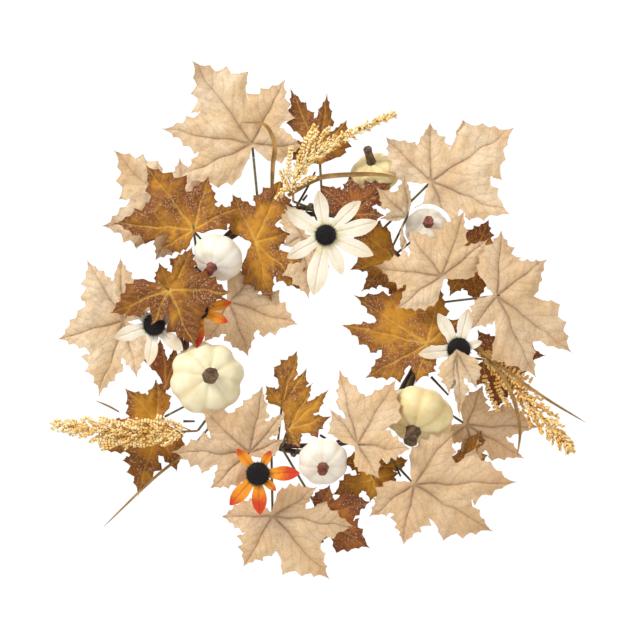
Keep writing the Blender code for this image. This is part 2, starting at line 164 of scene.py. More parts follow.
def loose_form(right, up, forward, lean, lobes):
    """The form of a small blade that has no CAD node, placed from the ring's centre."""
    form = BladeForm.__new__(BladeForm)
    centre = ring_centre()
    form.base = centre + Vector((right, -forward, up))
    form.lobes = [(turn % 360.0, reach) for turn, reach in sorted(lobes, key=lambda l: l[0] % 360)]
    form.lean = lean
    return form


# ---------------------------------------------------------------- outlines of blades


def polar(turn, reach):
    """The place at a bearing in degrees and a distance from the hub."""
    return np.array((reach * math.cos(math.radians(turn)), reach * math.sin(math.radians(turn))))


def bowed(first, last, bow, spacing=1.5):
    """Points from one corner towards the next, bowed out to the right of the way."""
    step = last - first
    length = float(np.hypot(*step))
    count = max(1, round(length / spacing))
    out = np.array((step[1], -step[0])) / max(length, 1e-6)
    shares = [index / count for index in range(count)]
    return [first + step * s + out * bow * length * 4.0 * s * (1.0 - s) for s in shares]


def neighbours(lobes):
    """Each lobe with the gap before it, the gap after it and both neighbours' lengths."""
    count = len(lobes)
    for index, (turn, reach) in enumerate(lobes):
        before = lobes[index - 1]
        after = lobes[(index + 1) % count]
        gap_before = (turn - before[0]) % 360.0 or 360.0
        gap_after = (after[0] - turn) % 360.0 or 360.0
        yield turn, reach, gap_before, gap_after, before[1], after[1]


# Corners of half a lobe above its sinus: the share along the lobe, and across half its width.
MAPLE_TEETH = (
    (0.60, 1.12), (0.665, 0.70), (0.75, 0.74), (0.79, 0.40), (0.86, 0.36), (0.89, 0.17))
LONG_LOBE = 45.0
ROOM_FOR_TOOTH = 9.0
RAGGED = 0.28
# Two lobes further apart than this have the notch of the stem between them, in degrees.
NOTCH_GAP = 76.0
MAPLE_SINUS = 0.60
BASAL_EDGE = ((0.10, 0.15), (0.30, 0.31), (0.44, 0.36), (0.48, 0.30))
# Leaves whose side by the notch is folded back: that side is drawn narrower, by the share of it
# that shows.
FOLDED_BACK = {"cream_leaf_inner_top": 0.35}


def maple_half(turn, reach, gap, beside, side, chance, fold):
    """Corners of half a maple lobe, from the sinus beside it to its tip."""
    axis = polar(turn, 1.0)
    across = np.array((-axis[1], axis[0])) * side
    spread = min(gap, NOTCH_GAP)
    width = min(0.32 * reach, 0.74 * reach * math.tan(math.radians(0.42 * spread)))
    teeth = MAPLE_TEETH if reach >= LONG_LOBE else MAPLE_TEETH[:-2]
    corners = []
    if gap >= NOTCH_GAP:
        width *= fold
        corners.append(polar(turn + side * 0.5 * gap, 3.5))
        for along, aside in BASAL_EDGE:
            corners.append(axis * reach * along + across * reach * aside * fold)
    else:
        sinus = polar(turn + side * 0.5 * gap, MAPLE_SINUS * min(reach, beside))
        corners.append(sinus)
        lower = axis * reach * teeth[0][0] + across * width * teeth[0][1]
        away = lower - sinus
        length = float(np.hypot(*away))
        if length > ROOM_FOR_TOOTH:
            out = np.array((away[1], -away[0])) / length * side
            corners.append(sinus + 0.5 * away + out * 1.7)
            corners.append(sinus + 0.6 * away - out * 0.3)
    for along, aside in teeth:
        stretch = 1.0 + chance.uniform(-0.10, 0.10)
        slip = chance.uniform(-0.012, 0.012)
        corners.append(axis * reach * (along + slip) + across * width * aside * stretch)
    corners.append(axis * reach)
    return corners


def maple_outline(lobes, chance, fold=1.0):
    """The toothed outline of a maple leaf, anticlockwise, as closely spaced points."""
    corners = []
    for turn, reach, gap_before, gap_after, before, after in neighbours(lobes):
        rising = maple_half(turn, reach, gap_before, before, -1, chance, fold)
        falling = maple_half(turn, reach, gap_after, after, 1, chance, fold)
        corners.extend(rising)
        corners.extend(reversed(falling[1:-1]))
    points = []
    for index, corner in enumerate(corners):
        following = corners[(index + 1) % len(corners)]
        outward = np.hypot(*following) > np.hypot(*corner)
        points.extend(bowed(corner, following, -0.05 if outward else -0.06))
    points = np.array(points)
    ragged = np.array([[chance.uniform(-RAGGED, RAGGED) for _ in "xy"] for _ in points])
    return points + ragged


# Leaves that a pumpkin pushes aside: their edge follows its side instead of crossing it.
PUSHED_ASIDE = {
    "cream_leaf_one": "pumpkin_two", "cream_leaf_inner_top": "pumpkin_two",
    "amber_leaf_ten": "pumpkin_ten", "cream_leaf_inner_bottom": "pumpkin_six",
}


def pushed_aside(outline, base, node):
    """An outline whose points in front of or behind a pumpkin are moved out to its side."""
    centre, _, radius, _ = pumpkin_frame(node)
    middle_place = np.array((centre.x - base.x, centre.z - base.z))
    made = []
    for point in outline:
        step = point - middle_place
        length = max(float(np.hypot(*step)), 1e-6)
        made.append(middle_place + step * max(1.0, (radius + PUSHED_CLEAR) / length))
    return np.array(made)


# Half a petal from its waist to its tip: the share along it, and across half its width.
PETAL_SIDE = (
    (0.42, 0.80), (0.52, 0.95), (0.62, 1.0), (0.72, 0.94), (0.82, 0.76), (0.90, 0.50),
    (0.96, 0.24))
# Two petals further apart than this don't meet at their feet, in degrees.
PETAL_GAP = 62.0


def petal_outline(lobes, chance):
    """The outline of a flower of pointed oval petals, as closely spaced points."""
    points = []
    for turn, reach, gap_before, gap_after, before, after in neighbours(lobes):
        axis = polar(turn, 1.0)
        across = np.array((-axis[1], axis[0]))
        wide = chance.uniform(0.92, 1.08)

        def half(side, gap, beside):
            """Half a petal, from where it meets its neighbour to its tip."""
            spread = min(gap, PETAL_GAP)
            width = wide * min(0.175 * reach, 0.5 * reach * math.tan(math.radians(spread / 2)))
            corners = [polar(turn + side * spread / 2, 0.26 * min(reach, beside) + 2.0)]
            for along, aside in PETAL_SIDE:
                corners.append(axis * reach * along + across * side * width * aside)
            corners.append(axis * reach)
            return corners

        ring = half(-1, gap_before, before) + half(1, gap_after, after)[-2::-1]
        for first, last in zip(ring, ring[1:]):
            points.extend(bowed(first, last, 0.0, 1.2))
        points.append(ring[-1])
        if gap_after > PETAL_GAP:
            points.append(polar(turn + gap_after / 2, 9.0))
    return np.array(points)


def distance_to(places, starts, ends):
    """Each place's distance to the nearest of some segments, its share along and which."""
    step = ends - starts
    length = np.maximum((step ** 2).sum(1), 1e-9)
    gap = places[:, None, :] - starts[None, :, :]
    share = np.clip((gap * step[None]).sum(2) / length[None], 0.0, 1.0)
    gap = gap - share[:, :, None] * step[None]
    far = np.hypot(gap[:, :, 0], gap[:, :, 1])
    best = far.argmin(1)
    rows = np.arange(len(places))
    return far[rows, best], share[rows, best], best


def inside(places, outline):
    """Which places are inside an outline."""
    ahead = np.roll(outline, -1, axis=0)
    hits = np.zeros(len(places), bool)
    for (x0, y0), (x1, y1) in zip(outline, ahead):
        if y0 == y1:
            continue
        crosses = (places[:, 1] < y0) != (places[:, 1] < y1)
        hits ^= crosses & (places[:, 0] < (x1 - x0) * (places[:, 1] - y0) / (y1 - y0) + x0)
    return hits


def area_of(outline):
    """The area inside an outline, in square millimetres."""
    ahead = np.roll(outline, -1, axis=0)
    return abs(float((outline[:, 0] * ahead[:, 1] - ahead[:, 0] * outline[:, 1]).sum())) / 2.0


# ---------------------------------------------------------------- building blades


SHORTEST_TWIG = 3.0
# A vein sways over this length, and hardly at all nearer to the hub than this radius.
SWAY_LENGTH = 19.0
CALM_RADIUS = 25.0
# A sheet's flat coordinates run ten to a metre.
CLOTH_SCALE = 10.0


def side_veins(lobes, shares, angle):
    """Segments of the side veins, from each lobe's main vein towards its teeth."""
    starts = []
    ends = []
    for turn, reach, gap_before, gap_after, _, _ in neighbours(lobes):
        for side, gap in ((-1, gap_before), (1, gap_after)):
            for share in shares:
                first = polar(turn, reach * share)
                length = 0.46 * reach * (1.0 - share) + SHORTEST_TWIG
                while length > SHORTEST_TWIG:
                    last = first + polar(turn + side * angle, length)
                    bearing = math.degrees(math.atan2(last[1], last[0]))
                    off = abs((bearing - turn + 180.0) % 360.0 - 180.0)
                    if off < 0.47 * min(gap, 80.0):
                        break
                    length -= 1.5
                bend = first + polar(turn + side * (angle + 8.0), length * 0.5)
                starts.extend((first, bend))
                ends.extend((bend, bend + polar(turn + side * (angle - 10.0), length * 0.5)))
    return np.array(starts), np.array(ends)


def wander(places, seed, amount):
    """Small smooth shifts that make straight veins wander, and none where they meet."""
    shifts = np.array([
        (noise.noise(Vector((x / SWAY_LENGTH + seed, y / SWAY_LENGTH, 1.7))),
         noise.noise(Vector((x / SWAY_LENGTH, y / SWAY_LENGTH + seed, 8.3))))
        for x, y in places])
    out = np.clip(np.hypot(places[:, 0], places[:, 1]) / CALM_RADIUS, 0.0, 1.0)
    return shifts * amount * out[:, None]


# Leaves whose print is deeper than the others': 0 is the palest print and 1 the deepest.
DEEP_TONES = {
    "cream_leaf_seven_cloth": 0.8, "cream_leaf_six_cloth": 0.6, "cream_leaf_five_cloth": 1.0,
    "cream_leaf_inner_bottom_cloth": 0.6, "cream_leaf_inner_left_cloth": 0.6,
    "cream_leaf_two_cloth": 0.6, "cream_leaf_three_cloth": 0.7, "cream_leaf_four_cloth": 0.8,
    "amber_leaf_nine_cloth": 1.0, "amber_leaf_ten_cloth": 0.6, "amber_leaf_inner_top_cloth": 0.4,
    "amber_leaf_twelve_cloth": 0.7,
}


def blade_sheet(name, form, outline, style, chance):
    """A thin shaped sheet: veined, puffed between its veins and curled at its tips."""
    seed = chance.uniform(0.0, 90.0)
    hub = np.zeros((len(form.lobes), 2))
    tips = np.array([polar(turn, reach * 0.985) for turn, reach in form.lobes])
    twig_starts, twig_ends = side_veins(form.lobes, style["twig_shares"], style["twig_angle"])

    reach = np.abs(outline).max() + 2.0
    spacing = style["spacing"]
    steps = np.arange(-reach, reach, spacing)
    grid = np.array([(x + (row % 2) * spacing / 2, y)
                     for row, y in enumerate(steps) for x in steps])
    grid += np.array([[chance.uniform(-0.2, 0.2) * spacing for _ in "xy"] for _ in grid])
    keep = inside(grid, outline)
    grid = grid[keep]
    rim_starts, rim_ends = outline, np.roll(outline, -1, axis=0)
    edge, _, _ = distance_to(grid, rim_starts, rim_ends)
    main, _, _ = distance_to(grid + wander(grid, seed, style["wander"]), hub, tips)
    grid = grid[(edge > 0.6 * spacing) & (main > 1.5 * style["groove"])]
    veins = [np.zeros(2)]
    for tip in tips:
        length = float(np.hypot(*tip))
        along = tip / length
        aside = np.array((-along[1], along[0]))
        for step in np.arange(2.5, length - 1.0, spacing):
            veins.append(along * step)
            if 4.0 < step < length - 4.0:
                veins.append(along * step + aside * style["groove"])
                veins.append(along * step - aside * style["groove"])
    veins = np.array(veins)
    veins -= wander(veins, seed, style["wander"])
    clear, _, _ = distance_to(veins, rim_starts, rim_ends)
    veins = veins[(clear > 0.5) & inside(veins, outline)]
    places = np.vstack([outline, veins, grid])
    rim = list(range(len(outline)))
    flat, _, faces, _, _, _ = delaunay_2d_cdt(
        [Vector(place) for place in places.tolist()], [], [rim], 1, 0.0005)
    places = np.array([tuple(place) for place in flat])

    edge, _, _ = distance_to(places, rim_starts, rim_ends)
    swayed = places + wander(places, seed, style["wander"])
    main, share, lobe = distance_to(swayed, hub, tips)
    twig, along, _ = distance_to(swayed, twig_starts, twig_ends)
    radius = np.hypot(places[:, 0], places[:, 1])
    lengths = np.array([reach for _, reach in form.lobes])
    curls = np.array([chance.uniform(*style["curl"]) for _ in form.lobes])

    groove = np.clip(1.0 - main / style["groove"], 0.0, 1.0) * style["groove_depth"]
    fine = np.clip(1.0 - twig / (0.7 * style["groove"]), 0.0, 1.0) * style["twig_depth"]
    puff = style["puff"] * (1.0 - np.exp(-main / 6.0)) * np.clip(edge / 7.0, 0.2, 1.0)
    tip = np.clip((radius / lengths[lobe] - 0.55) / 0.45, 0.0, 1.0) ** 2 * curls[lobe]
    wave = np.array([
        noise.noise(Vector((x / 28.0 + seed, y / 28.0, seed))) * style["wave"]
        + noise.noise(Vector((x / 9.0, y / 9.0 + seed, 3.1))) * style["crinkle"]
        + noise.noise(Vector((x / 3.6, y / 3.6, seed))) * 0.3 * style["crinkle"]
        for x, y in places])
    lean = np.array([form.rise(x, y) for x, y in places])
    height = lean + puff + tip + wave - groove - fine

    tones = np.full(len(form.lobes), DEEP_TONES.get(name, chance.uniform(0.1, 0.4)))
    if "tones" in style:
        tones = np.array([chance.choice(style["tones"]) for _ in form.lobes])
    mesh = bpy.data.meshes.new(name)
    corners = [((form.base.x + x) * MM, (form.base.y - h) * MM, (form.base.z + y) * MM)
               for (x, y), h in zip(places, height)]
    mesh.from_pydata(corners, [], [tuple(face) for face in faces])
    for label, values in (
            ("vein", np.maximum(main - 1.1 * (1.0 - 0.75 * share), 0.0)),
            ("twig", np.maximum(twig - 0.45 * (1.0 - 0.5 * along), 0.0)),
            ("edge", edge),
            ("out", radius / lengths[lobe]),
            ("tone", tones[lobe])):
        layer = mesh.attributes.new(label, "FLOAT", "POINT")
        layer.data.foreach_set("value", values.astype(np.float32))
    cloth = mesh.uv_layers.new(name="cloth")
    corner_of = np.zeros(len(mesh.loops), np.int32)
    mesh.loops.foreach_get("vertex_index", corner_of)
    cloth.data.foreach_set("uv", (places[corner_of] * MM * CLOTH_SCALE).astype(np.float32).ravel())
    piece = linked_object(name, mesh)
    face_front(mesh)
    apply_modifier(piece, "SOLIDIFY", thickness=style["thickness"] * MM, offset=-1.0)
    bpy.ops.object.shade_smooth_by_angle(angle=math.radians(50.0))
    return piece


def face_front(mesh):
    """Turn a sheet over if its faces look to the back."""
    total = sum(face.normal.y * face.area for face in mesh.polygons)
    if total > 0.0:
        mesh.flip_normals()


def select(*pieces):
    """Select these objects alone, the first one active."""
    bpy.ops.object.select_all(action="DESELECT")
    for piece in pieces:
        piece.select_set(True)
    bpy.context.view_layer.objects.active = pieces[0]


def add_alone(primitive, **settings):
    """Add a primitive with nothing else selected, and return its object."""
    bpy.ops.object.select_all(action="DESELECT")
    primitive(**settings)
    return bpy.context.active_object


def edit(select_all=True):
    """Go into edit mode, with all of the active piece selected."""
    bpy.ops.object.mode_set(mode="EDIT")
    if select_all:
        bpy.ops.mesh.select_all(action="SELECT")


def leave_edit():
    """Go back to object mode."""
    bpy.ops.object.mode_set(mode="OBJECT")


def resize(right, back, up):
    """Resize what is selected about the middle of the scene."""
    bpy.ops.transform.resize(value=(right, back, up), center_override=(0, 0, 0))


def apply_modifier(piece, kind, **settings):
    """Add a modifier to a piece, set it and apply it."""
    select(piece)
    bpy.ops.object.modifier_add(type=kind)
    for key, value in settings.items():
        setattr(piece.modifiers[-1], key, value)
    bpy.ops.object.modifier_apply(modifier=piece.modifiers[-1].name)


def linked_object(name, data):
    """A new object in the scene that shows a mesh, a lamp or a camera."""
    made = bpy.data.objects.new(name, data)
    bpy.context.scene.collection.objects.link(made)
    return made


def turned_to(way, rest=Vector((0, 0, 1))):
    """The turn that points a shape's upward axis along a direction."""
    return rest.rotation_difference(way).to_matrix().to_4x4()


# ---------------------------------------------------------------- drawn and turned shapes


def smooth_path(points, per_span):
    """Points on a smooth curve through some points."""
    points = [Vector(point) for point in points]
    ends = [2 * points[0] - points[1]] + points + [2 * points[-1] - points[-2]]
    made = []
    for a, b, c, d in zip(ends, ends[1:], ends[2:], ends[3:]):
        for step in range(per_span):
            t = step / per_span
            made.append(0.5 * (2 * b + (c - a) * t + (2 * a - 5 * b + 4 * c - d) * t * t
                               + (3 * b - a - 3 * c + d) * t ** 3))
    return made + [points[-1]]


def even(values, count):
    """Values read at evenly spaced places along a list."""
    return np.interp(np.linspace(0, len(values) - 1, count), range(len(values)), values)


def tube(name, points, radii, sides=10, closed=False):
    """A tube drawn as a curve through points in millimetres, then made a mesh."""
    piece = add_alone(bpy.ops.curve.primitive_bezier_curve_add, location=(0, 0, 0))
    piece.name = name
    curve = piece.data
    curve.dimensions = "3D"
    curve.splines.clear()
    spline = curve.splines.new("POLY")
    spline.points.add(len(points) - 1)
    for knot, point, radius in zip(spline.points, points, even(radii, len(points))):
        knot.co = (*(Vector(point) * MM), 1.0)
        knot.radius = float(radius) * MM
    spline.use_cyclic_u = closed
    curve.bevel_depth = 1.0
    curve.bevel_resolution = (sides - 4) // 2
    curve.use_fill_caps = not closed
    bpy.ops.object.convert(target="MESH")
    weld(piece)
    return piece


def weld(piece):
    """Join a piece's doubled corners and turn its faces outwards."""
    select(piece)
    edit()
    bpy.ops.mesh.remove_doubles(threshold=WELD_GAP)
    bpy.ops.mesh.normals_make_consistent(inside=False)
    leave_edit()


def finish_shape(piece, material, body, replaced=(), angle=None):
    """Shade a piece, paint it and set what it rides on and stands for."""
    select(piece)
    if angle is None:
        bpy.ops.object.shade_smooth()
    else:
        bpy.ops.object.shade_smooth_by_angle(angle=math.radians(angle))
    piece.data.materials.clear()
    piece.data.materials.append(material)
    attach(piece, body)
    if replaced:
        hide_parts(*replaced)
    return piece


def copies(name, source, places):
    """One piece made of copies of another, each put at its own place."""
    form = bmesh.new()
    for place in places:
        copy = source.data.copy()
        copy.transform(place)
        form.from_mesh(copy)
        bpy.data.meshes.remove(copy)
    mesh = bpy.data.meshes.new(name)
    form.to_mesh(mesh)
    form.free()
    return linked_object(name, mesh)


def joined(name, pieces):
    """Several pieces as one."""
    select(*pieces)
    if len(pieces) > 1:
        bpy.ops.object.join()
    piece = bpy.context.view_layer.objects.active
    piece.name = name
    piece.data.name = name
    return piece


# ---------------------------------------------------------------- materials


class Socket:
    """A node's output that takes part in sums and products."""

    def __init__(self, finish, output):
        self.finish = finish
        self.output = output

    def maths(self, operation, first, second):
        """The result of a Math node."""
        return self.finish.node(
            "ShaderNodeMath", {"operation": operation}, {0: first, 1: second})

    def __add__(self, other):
        return self.maths("ADD", self, other)

    def __radd__(self, other):
        return self.maths("ADD", other, self)

    def __sub__(self, other):
        return self.maths("SUBTRACT", self, other)

    def __rsub__(self, other):
        return self.maths("SUBTRACT", other, self)

    def __mul__(self, other):
        return self.maths("MULTIPLY", self, other)

    def __rmul__(self, other):
        return self.maths("MULTIPLY", other, self)


class Finish:
    """A procedural material, built node by node."""

    def __init__(self, name):
        self.material = bpy.data.materials.new(name)
        self.material.use_nodes = True
        self.tree = self.material.node_tree
        self.shader = self.tree.nodes["Principled BSDF"]

    def node(self, kind, settings=None, inputs=None, output=0):
        """Add a node: its settings first, then the values or links of its sockets."""
        made = self.tree.nodes.new(kind)
        for key, value in (settings or {}).items():
            if key == "stops":
                ramp = made.color_ramp
                while len(ramp.elements) < len(value):
                    ramp.elements.new(0.5)
                for stop, (place, colour) in zip(ramp.elements, value):
                    stop.position = place
                    stop.color = (*colour, 1.0)
            else:
                setattr(made, key, value)
        for key, value in (inputs or {}).items():
            if isinstance(value, Socket):
                self.tree.links.new(value.output, made.inputs[key])
            else:
                made.inputs[key].default_value = value
        return Socket(self, made.outputs[output])

    def mix(self, factor, first, second, blend="MIX"):
        """A blend of two colours."""
        first, second = (
            (*c, 1.0) if isinstance(c, tuple) and len(c) == 3 else c for c in (first, second))
        return self.node(
            "ShaderNodeMix", {"data_type": "RGBA", "blend_type": blend, "clamp_factor": True},
            {0: factor, 6: first, 7: second}, 2)

    def attribute(self, name):
        """A number that a mesh carries, such as the distance to a vein."""
        return self.node("ShaderNodeAttribute", {"attribute_name": name}, {}, 2)

    def place(self):
        """Object coordinates."""
        return self.node("ShaderNodeTexCoord", {}, {}, 3)

    def uv(self):
        """The sheet's own flat coordinates."""
        return self.node("ShaderNodeUVMap", {"uv_map": "cloth"})

    def cloud(self, where, size_mm, detail=3.0, rough=0.55):
        """Noise whose blotches are about a size in millimetres across."""
        return self.node("ShaderNodeTexNoise", {}, {
            "Vector": where, "Scale": 1.0 / (size_mm * MM), "Detail": detail,
            "Roughness": rough})

    def cells(self, where, size_mm):
        """Distance to the edge of cells of about a size in millimetres, in cells."""
        return self.node("ShaderNodeTexVoronoi", {"feature": "DISTANCE_TO_EDGE"}, {
            "Vector": where, "Scale": 1.0 / (size_mm * MM)})

    def between(self, value, low, high):
        """0 at low, 1 at high and a smooth step between."""
        return self.node(
            "ShaderNodeMapRange", {"interpolation_type": "SMOOTHSTEP"},
            {0: value, 1: low, 2: high, 3: 0.0, 4: 1.0})

    def set(self, **values):
        """Set or link the shader's sockets by name, with _ for a space."""
        for key, value in values.items():
            socket = self.shader.inputs[key.replace("_", " ")]
            if isinstance(value, Socket):
                self.tree.links.new(value.output, socket)
            else:
                socket.default_value = (*value, 1.0) if isinstance(value, tuple) else value

    def bump(self, height, distance_mm, strength=1.0):
        """Raise the surface by a height, up to a distance in millimetres."""
        normal = self.node("ShaderNodeBump", {}, {
            "Height": height, "Distance": distance_mm * MM, "Strength": strength})
        self.set(Normal=normal)


def rgb(code):
    """A display colour written in hex, as the linear numbers that a shader takes."""
    parts = [int(code[index:index + 2], 16) / 255.0 for index in (0, 2, 4)]
    return tuple(p / 12.92 if p <= 0.04045 else ((p + 0.055) / 1.055) ** 2.4 for p in parts)


def weave(finish, uv, pitch_mm=0.55):
    """The height of a plain weave of threads a pitch apart, on a sheet's flat coordinates."""
    scale = 1.0 / (pitch_mm * MM * CLOTH_SCALE) * math.pi * 2.0
    warp = finish.node("ShaderNodeSeparateXYZ", {}, {0: uv})
    weft = Socket(finish, warp.output.node.outputs[1])
    sines = [finish.node("ShaderNodeMath", {"operation": "SINE"}, {0: axis * scale})
             for axis in (warp, weft)]
    return sines[0] * sines[1]


def cream_cloth():
    """A printed cream cloth: blotched and flecked, with soft brown veins, and painted shade that
    darkens it towards the hub.
    """
    finish = Finish("printed_cream_cloth")
    uv, where = finish.uv(), finish.place()
    vein, twig = finish.attribute("vein"), finish.attribute("twig")
    edge, out, tone = finish.attribute("edge"), finish.attribute("out"), finish.attribute("tone")
    blotch = finish.cloud(where, 32.0, 4.0)
    speck = finish.cloud(where, 5.0, 5.0, 0.7)
    grit = finish.cloud(where, 1.4, 3.0, 0.6)
    net = finish.cells(where, 3.4)
    base = finish.mix(finish.between(blotch, 0.34, 0.66), rgb("FAE4C1"), rgb("EAC898"))
    base = finish.mix(tone * 0.6, base, rgb("DEB384"))
    base = finish.mix(finish.between(out + blotch * 0.3, 0.78, 1.2) * 0.55, base, rgb("C99C72"))
    base = finish.mix(finish.between(speck, 0.48, 0.68) * 0.42, base, rgb("C49C74"))
    base = finish.mix(finish.between(grit, 0.50, 0.66) * 0.22, base, rgb("B58F6C"))
    base = finish.mix((1.0 - finish.between(net, 0.02, 0.16)) * 0.13, base, rgb("A07F62"))
    # Painted shade: a soft brown halo round the veins, and the vein lines themselves, grow darker
    # towards the hub; the thinner vein lines elsewhere are print.
    hub_shade = 1.05 - out
    halo = (1.0 - finish.between(vein + speck * 4.0, 1.6, 8.0)) * hub_shade
    base = finish.mix(halo * 0.36, base, rgb("B38C68"))
    fine = 1.0 - finish.between(twig + speck * 1.6, 0.5, 1.9)
    base = finish.mix(fine * 0.30, base, rgb("9C7F66"))
    line = 1.0 - finish.between(vein + speck * 1.2, 0.45, 1.3)
    base = finish.mix(line * (0.30 + hub_shade * 0.34), base, rgb("8E735A"))
    base = finish.mix((1.0 - finish.between(edge, 0.1, 0.9)) * 0.35, base, rgb("C39B73"))
    finish.set(Base_Color=base, Roughness=0.86, Specular_IOR_Level=0.25,
               Sheen_Weight=0.15, Sheen_Roughness=0.5)
    finish.bump(weave(finish, uv) * 0.30 + speck * 0.8 + net * 0.5, 0.35, 0.6)
    return finish.material


def dark_cloth(name, centre, flank, rim, vein_colour, dust_amount):
    """A printed amber or rust cloth: warm at the heart, dark at the rim, dusted with gold."""
    finish = Finish(name)
    uv, where = finish.uv(), finish.place()
    vein, twig = finish.attribute("vein"), finish.attribute("twig")
    edge, out, tone = finish.attribute("edge"), finish.attribute("out"), finish.attribute("tone")
    blotch = finish.cloud(where, 26.0, 5.0, 0.6)
    speck = finish.cloud(where, 4.0, 4.0, 0.65)
    dust = finish.cloud(where, 1.5, 2.0, 0.5)
    heart = finish.mix(finish.between(blotch, 0.38, 0.62), centre, flank)
    spread = finish.between(out * 0.5 + blotch * 1.1 + (tone - 0.5) * 0.28, 0.62, 1.02)
    base = finish.mix(spread * 0.9, heart, rim)
    base = finish.mix((1.0 - finish.between(edge + speck * 5.0, 1.5, 7.0)) * 0.5, base, rim)
    base = finish.mix(finish.between(speck, 0.48, 0.68) * 0.35, base, rim)
    frost = finish.between(dust, 0.585, 0.655) * finish.between(blotch + speck * 0.3, 0.56, 0.74)
    base = finish.mix(frost * dust_amount, base, rgb("EBD9BC"))
    fine = 1.0 - finish.between(twig + speck * 1.0, 0.3, 1.4)
    base = finish.mix(fine * 0.25, base, vein_colour)
    line = 1.0 - finish.between(vein + speck * 0.9, 0.35, 1.2)
    base = finish.mix(line * (0.8 - out * 0.35), base, vein_colour)
    finish.set(Base_Color=base, Roughness=0.72, Specular_IOR_Level=0.35,
               Sheen_Weight=0.1, Sheen_Roughness=0.5)
    finish.bump(weave(finish, uv) * 0.35 + speck * 0.6, 0.25, 0.55)
    return finish.material


def petal_cloth(name, root, middle_colour, tip):
    """A petal's cloth, coloured from its root to its tip with fine long streaks."""
    finish = Finish(name)
    uv, where = finish.uv(), finish.place()
    vein, out = finish.attribute("vein"), finish.attribute("out")
    speck = finish.cloud(where, 6.0, 4.0, 0.6)
    along = out + (speck - 0.5) * 0.35 + finish.attribute("tone") * 0.30
    base = finish.mix(finish.between(along, 0.12, 0.45), root, middle_colour)
    base = finish.mix(finish.between(along, 0.62, 1.02), base, tip)
    base = finish.mix((1.0 - finish.between(vein, 0.1, 1.3)) * 0.2, base, tip)
    finish.set(Base_Color=base, Roughness=0.62, Specular_IOR_Level=0.3,
               Sheen_Weight=0.2, Sheen_Roughness=0.4)
    finish.bump(weave(finish, uv, 0.4) * 0.3 + speck * 0.5, 0.2, 0.5)
    return finish.material


def foam_skin(name, light, deep):
    """A painted foam skin, faintly pitted, with painted shade that darkens its grooves."""
    finish = Finish(name)
    where = finish.place()
    groove = finish.attribute("groove")
    blotch = finish.cloud(where, 18.0, 3.0)
    pits = finish.cloud(where, 0.9, 3.0, 0.6)
    base = finish.mix(finish.between(blotch, 0.35, 0.7) * 0.5, light, deep)
    # Painted shade: the colour goes over to the deeper tone in the grooves.
    base = finish.mix(groove * 0.5, base, deep)
    finish.set(Base_Color=base, Roughness=0.42 + (pits - 0.5) * 0.25,
               Subsurface_Weight=0.12, Subsurface_Scale=0.006,
               Specular_IOR_Level=0.45, Coat_Roughness=0.35)
    finish.bump(pits * 0.5 + blotch * 0.6, 0.35, 0.5)
    return finish.material


def grained(name, light, dark, long_mm, roughness, relief_mm, wear=0.3):
    """A drawn, twiggy or moulded surface with fine long grain."""
    finish = Finish(name)
    where = finish.place()
    blotch = finish.cloud(where, long_mm, 4.0, 0.6)
    grain = finish.cloud(where, long_mm / 7.0, 4.0, 0.65)
    base = finish.mix(finish.between(blotch, 0.35, 0.65), light, dark)
    base = finish.mix(finish.between(grain, 0.55, 0.75) * wear, base, light)
    finish.set(Base_Color=base, Roughness=roughness + (grain - 0.5) * 0.3,
               Specular_IOR_Level=0.4)
    finish.bump(grain + blotch * 0.5, relief_mm, 0.7)
    return finish.material


def flock():
    """Short black flock."""
    finish = Finish("black_flock")
    where = finish.place()
    tuft = finish.cloud(where, 0.8, 2.0)
    base = finish.mix(tuft, rgb("0C0A0A"), rgb("2A2522"))
    finish.set(Base_Color=base, Roughness=0.95, Specular_IOR_Level=0.15, Sheen_Weight=0.25)
    finish.bump(tuft, 0.4, 0.8)
    return finish.material


def floor_paint():
    """A pale plain floor."""
    finish = Finish("pale_floor")
    where = finish.place()
    speck = finish.cloud(where, 60.0, 2.0)
    finish.set(Base_Color=finish.mix(speck, rgb("F2F0EC"), rgb("E8E6E2")), Roughness=0.9)
    return finish.material


MAKERS = {
    "cream": cream_cloth,
    "amber": lambda: dark_cloth(
        "printed_amber_cloth", rgb("C4871F"), rgb("A66716"), rgb("733A0E"), rgb("DDAC48"), 0.45),
    "rust": lambda: dark_cloth(
        "printed_rust_cloth", rgb("A45F1F"), rgb("8A4717"), rgb("632D0D"), rgb("C58B45"), 0.55),
    "petal_cream": lambda: petal_cloth(
        "cream_petal_cloth", rgb("D8CF8E"), rgb("F3E8D2"), rgb("E4D2B4")),
    "petal_orange": lambda: petal_cloth(
        "orange_petal_cloth", rgb("F7BC2C"), rgb("F19A26"), rgb("CE3C12")),
    "ivory": lambda: foam_skin("ivory_foam", rgb("F7F0E2"), rgb("E6D8BC")),
    "butter": lambda: foam_skin("butter_foam", rgb("F6EBC6"), rgb("DEC992")),
    "deep_butter": lambda: foam_skin("deep_butter_foam", rgb("F2DFA8"), rgb("D3B26A")),
    "stalk": lambda: grained("moulded_stalk", rgb("9A5240"), rgb("5C2C22"), 5.0, 0.55, 0.5),
    "dark_stalk": lambda: grained(
        "dark_moulded_stalk", rgb("7A5E42"), rgb("3C2A1B"), 5.0, 0.55, 0.6, 0.5),
    "vine": lambda: grained("vine_bark", rgb("5A3B29"), rgb("2A1A12"), 9.0, 0.45, 0.7),
    "stem": lambda: grained("taped_stem", rgb("7A6E42"), rgb("4A4024"), 7.0, 0.6, 0.3),
    "grain": lambda: grained("sorghum_grain", rgb("FFE9B2"), rgb("F2C771"), 14.0, 0.5, 0.3, 0.5),
    "deep_grain": lambda: grained(
        "sorghum_grain_deep", rgb("FFE09A"), rgb("F0BC60"), 14.0, 0.5, 0.3, 0.5),
    "grass": lambda: grained("dried_grass", rgb("B58A4C"), rgb("84602F"), 16.0, 0.6, 0.25),
    "flock": flock,
    "floor": floor_paint,
}
MADE = {}


def paint(name):
    """A material by its short name, made once."""
    if name not in MADE:
        MADE[name] = MAKERS[name]()
    return MADE[name]


# ---------------------------------------------------------------- settings


